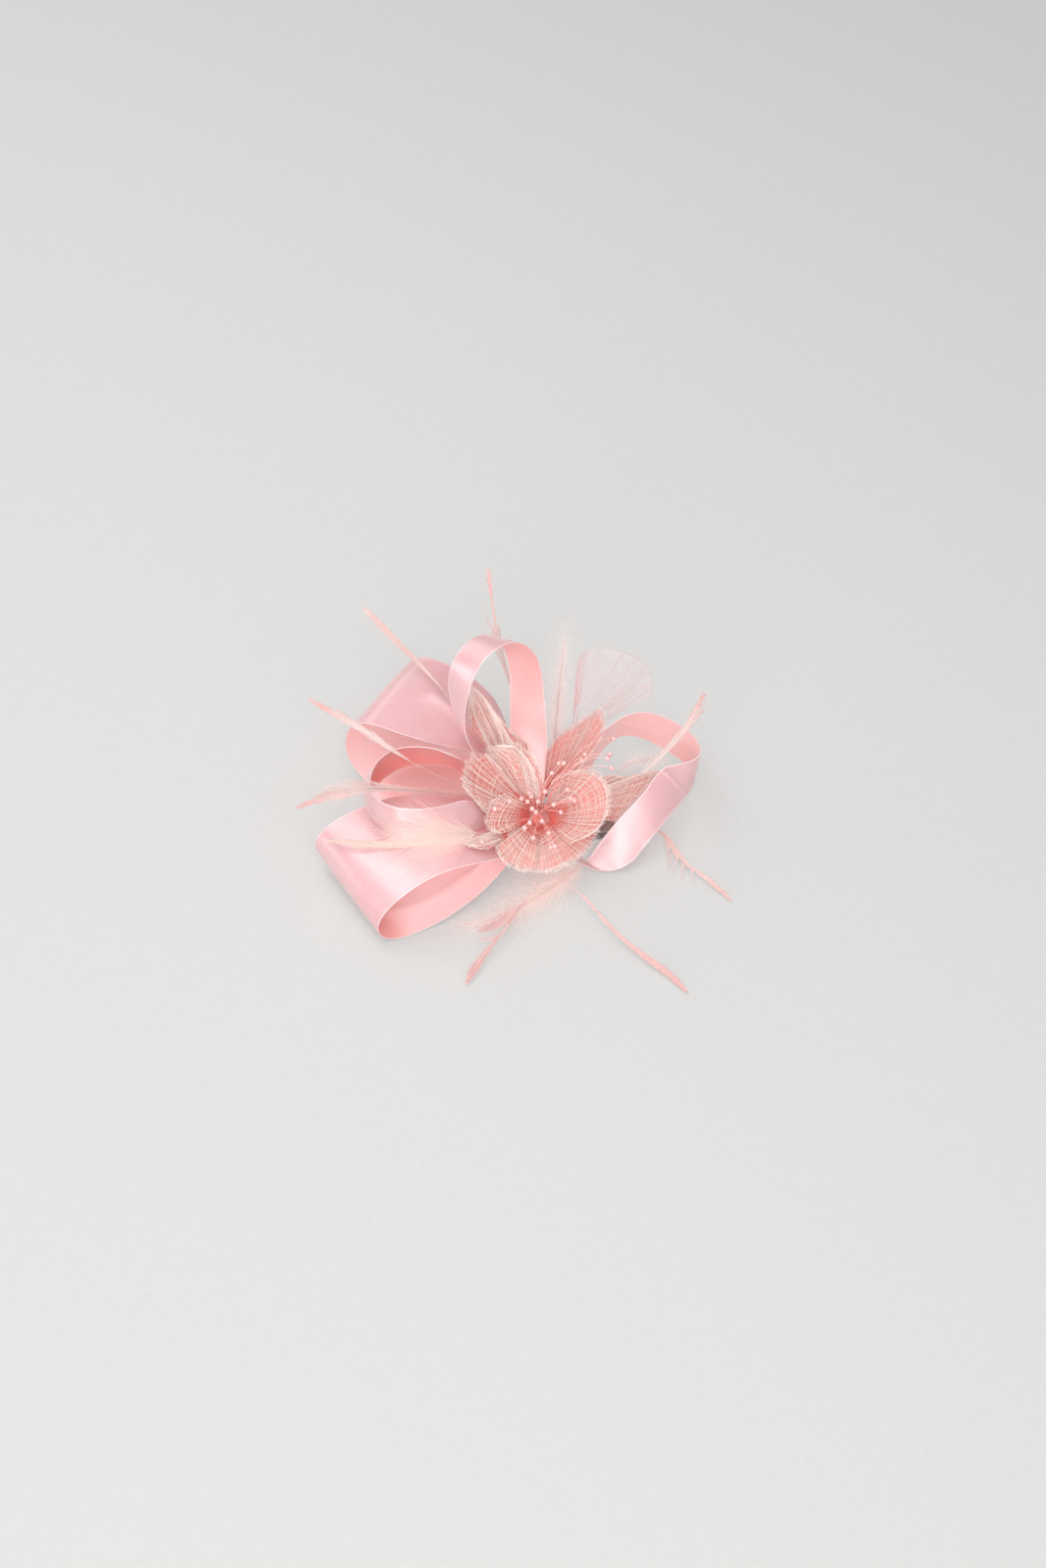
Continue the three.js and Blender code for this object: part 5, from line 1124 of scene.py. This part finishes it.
feather("feather_top", 61, QUILL, [(0.48, 0, 0), (0.54, 0.8, 0.6), (0.62, 1.8, 1.5), (0.68, 1.6, 1.6), (0.73, 0.5, 0.7), (0.80, 0.35, 0.5), (0.86, 0.6, 0.6), (0.92, 0.9, 0.8), (0.97, 0.5, 0.5), (1, 0.15, 0.15)],
        [(0, 0.5), (0.5, 0.4), (0.62, 0.1), (0.75, 0.25), (0.85, 0.6), (0.92, 0.85), (1, 0.6)], [(0.68, 0.73, -1, 11, 15, 17, 22, 14)])
feather("feather_upper_left", 62, QUILL, [(0.50, 0, 0), (0.58, 0.5, 0.5), (0.66, 0.9, 0.9), (0.76, 1.3, 1.2), (0.88, 1.2, 1.3), (0.95, 0.8, 0.9), (1, 0.2, 0.2)],
        [(0, 0.6), (0.5, 0.35), (0.7, 0.45), (0.9, 0.6), (1, 0.4)])
feather("feather_left_high", 63, QUILL, [(0.42, 0, 0), (0.48, 0.6, 0.6), (0.56, 1.4, 1.2), (0.64, 1.0, 1.0), (0.70, 1.0, 2.2), (0.76, 0.9, 2.2), (0.82, 0.8, 1.2), (0.90, 0.9, 0.9), (0.96, 0.6, 0.6), (1, 0.15, 0.15)],
        [(0, 0.9), (0.4, 0.75), (0.52, 0.3), (0.72, 0.15), (0.80, 0.5), (0.9, 0.9), (1, 0.7)], [(0.66, 0.72, 1, 6, 8, 20, 26, 8)], fluff=[(0.64, 0.76, 1, 26, 3, 7, 14, 30)])
feather("feather_left", 64, QUILL, [(0.12, 0.6, 0.6), (0.25, 1.7, 1.5), (0.34, 1.6, 1.4), (0.42, 1.0, 1.0), (0.50, 1.0, 2.4), (0.58, 1.2, 4.2), (0.66, 1.4, 4.8), (0.71, 1.4, 4.6), (0.75, 1.3, 3.4), (0.80, 1.1, 2.5), (0.86, 1.0, 1.6), (0.93, 0.9, 0.9), (1, 0.1, 0.1)],
        [(0, 0.95), (0.36, 0.85), (0.5, 0.4), (0.7, 0.3), (0.84, 0.55), (0.92, 0.9), (1, 0.75)], [(0.60, 0.64, 1, 13, 15, 19, 22, 8), (0.73, 0.76, 1, 10, 11, 19, 23, 7), (0.78, 0.80, 1, 8, 9, 18, 21, 6), (0.70, 0.74, -1, 5, 6, 22, 28, 5)], lean=21.0, gap=0.12, puff=1.1)
feather("feather_on_loop", 65, QUILL_PALE, [(0.05, 0.3, 0.3), (0.3, 1.1, 1.1), (0.6, 1.4, 1.2), (0.85, 0.9, 0.8), (1, 0.1, 0.1)], [(0, 0.4), (0.5, 0.3), (1, 0.5)])
feather("feather_front_left", 66, QUILL, [(0.30, 0, 0), (0.42, 0.3, 0.3), (0.5, 0.4, 0.4), (0.6, 0.4, 0.4), (0.68, 0.5, 1.2), (0.75, 0.6, 2.1), (0.86, 0.6, 1.7), (0.94, 0.4, 0.8), (1, 0.1, 0.1)],
        [(0, 0.4), (0.4, 0.45), (0.5, 0.7), (0.7, 0.75), (1, 0.95)], [(0.40, 0.55, 1, 23, 15, 15, 22, 56, -0.9), (0.66, 0.69, 1, 9, 10, 50, 58, 7)])
feather("feather_front_right", 67, QUILL, [(0.2, 0, 0), (0.3, 0.5, 0.5), (0.5, 0.7, 0.7), (0.62, 0.8, 0.8), (0.75, 1.1, 1.2), (0.88, 0.9, 1.1), (0.95, 0.6, 0.6), (1, 0.1, 0.1)],
        [(0, 0.4), (0.3, 0.6), (0.6, 0.75), (0.85, 0.85), (1, 0.95)])
feather("feather_right_low", 68, QUILL, [(0.44, 0, 0), (0.49, 0.5, 1.2), (0.55, 0.7, 2.0), (0.61, 0.7, 1.0), (0.72, 0.6, 0.7), (0.8, 0.9, 0.8), (0.9, 0.9, 0.7), (1, 0.1, 0.1)],
        [(0, 0.6), (0.45, 0.75), (0.6, 0.6), (0.75, 0.45), (0.9, 0.65), (1, 0.8)], [(0.50, 0.56, 1, 8, 11, 36, 46, 16), (0.585, 0.60, 1, 10, 11, 46, 52, 8), (0.63, 0.645, 1, 10, 11, 48, 54, 7), (0.675, 0.69, 1, 8.5, 9.5, 48, 54, 6), (0.73, 0.74, 1, 6, 7, 46, 52, 5)])
feather("feather_right_high", 69, QUILL, [(0.44, 0.3, 0.3), (0.56, 0.9, 0.8), (0.66, 1.2, 1.4), (0.76, 1.3, 2.0), (0.85, 1.0, 1.7), (0.91, 0.6, 0.7), (0.96, 0.7, 0.7), (1, 0.2, 0.2)],
        [(0, 0.5), (0.45, 0.1), (0.7, 0.2), (0.86, 0.4), (0.94, 0.8), (1, 0.8)], [(0.78, 0.85, 1, 6.5, 7.5, 22, 30, 14)], fluff=[(0.42, 0.6, 0, 70, 5, 11, 15, 60)])

plume("plume_left", 81, 1500, 36.0, 24.0, 0.05, late=2.6, root=(-6, -8, 12))
plume("plume_front", 82, 1400, 31.0, 31.0, 0.0, floor=0.3, late=1.8, root=(7, -9, 10.8))
plume("plume_back", 83, 1400, 23.0, 27.0, 0.0, r=0.042, material=MARABOU_FAINT, late=1.8, root=(3, 8, 11.5))
plume("plume_right", 84, 360, 15.0, 30.0, 0.02, material=MARABOU_FAINT, root=(9, 4, 12))

net("net_fan")
felt_disc()
stem()
metal()
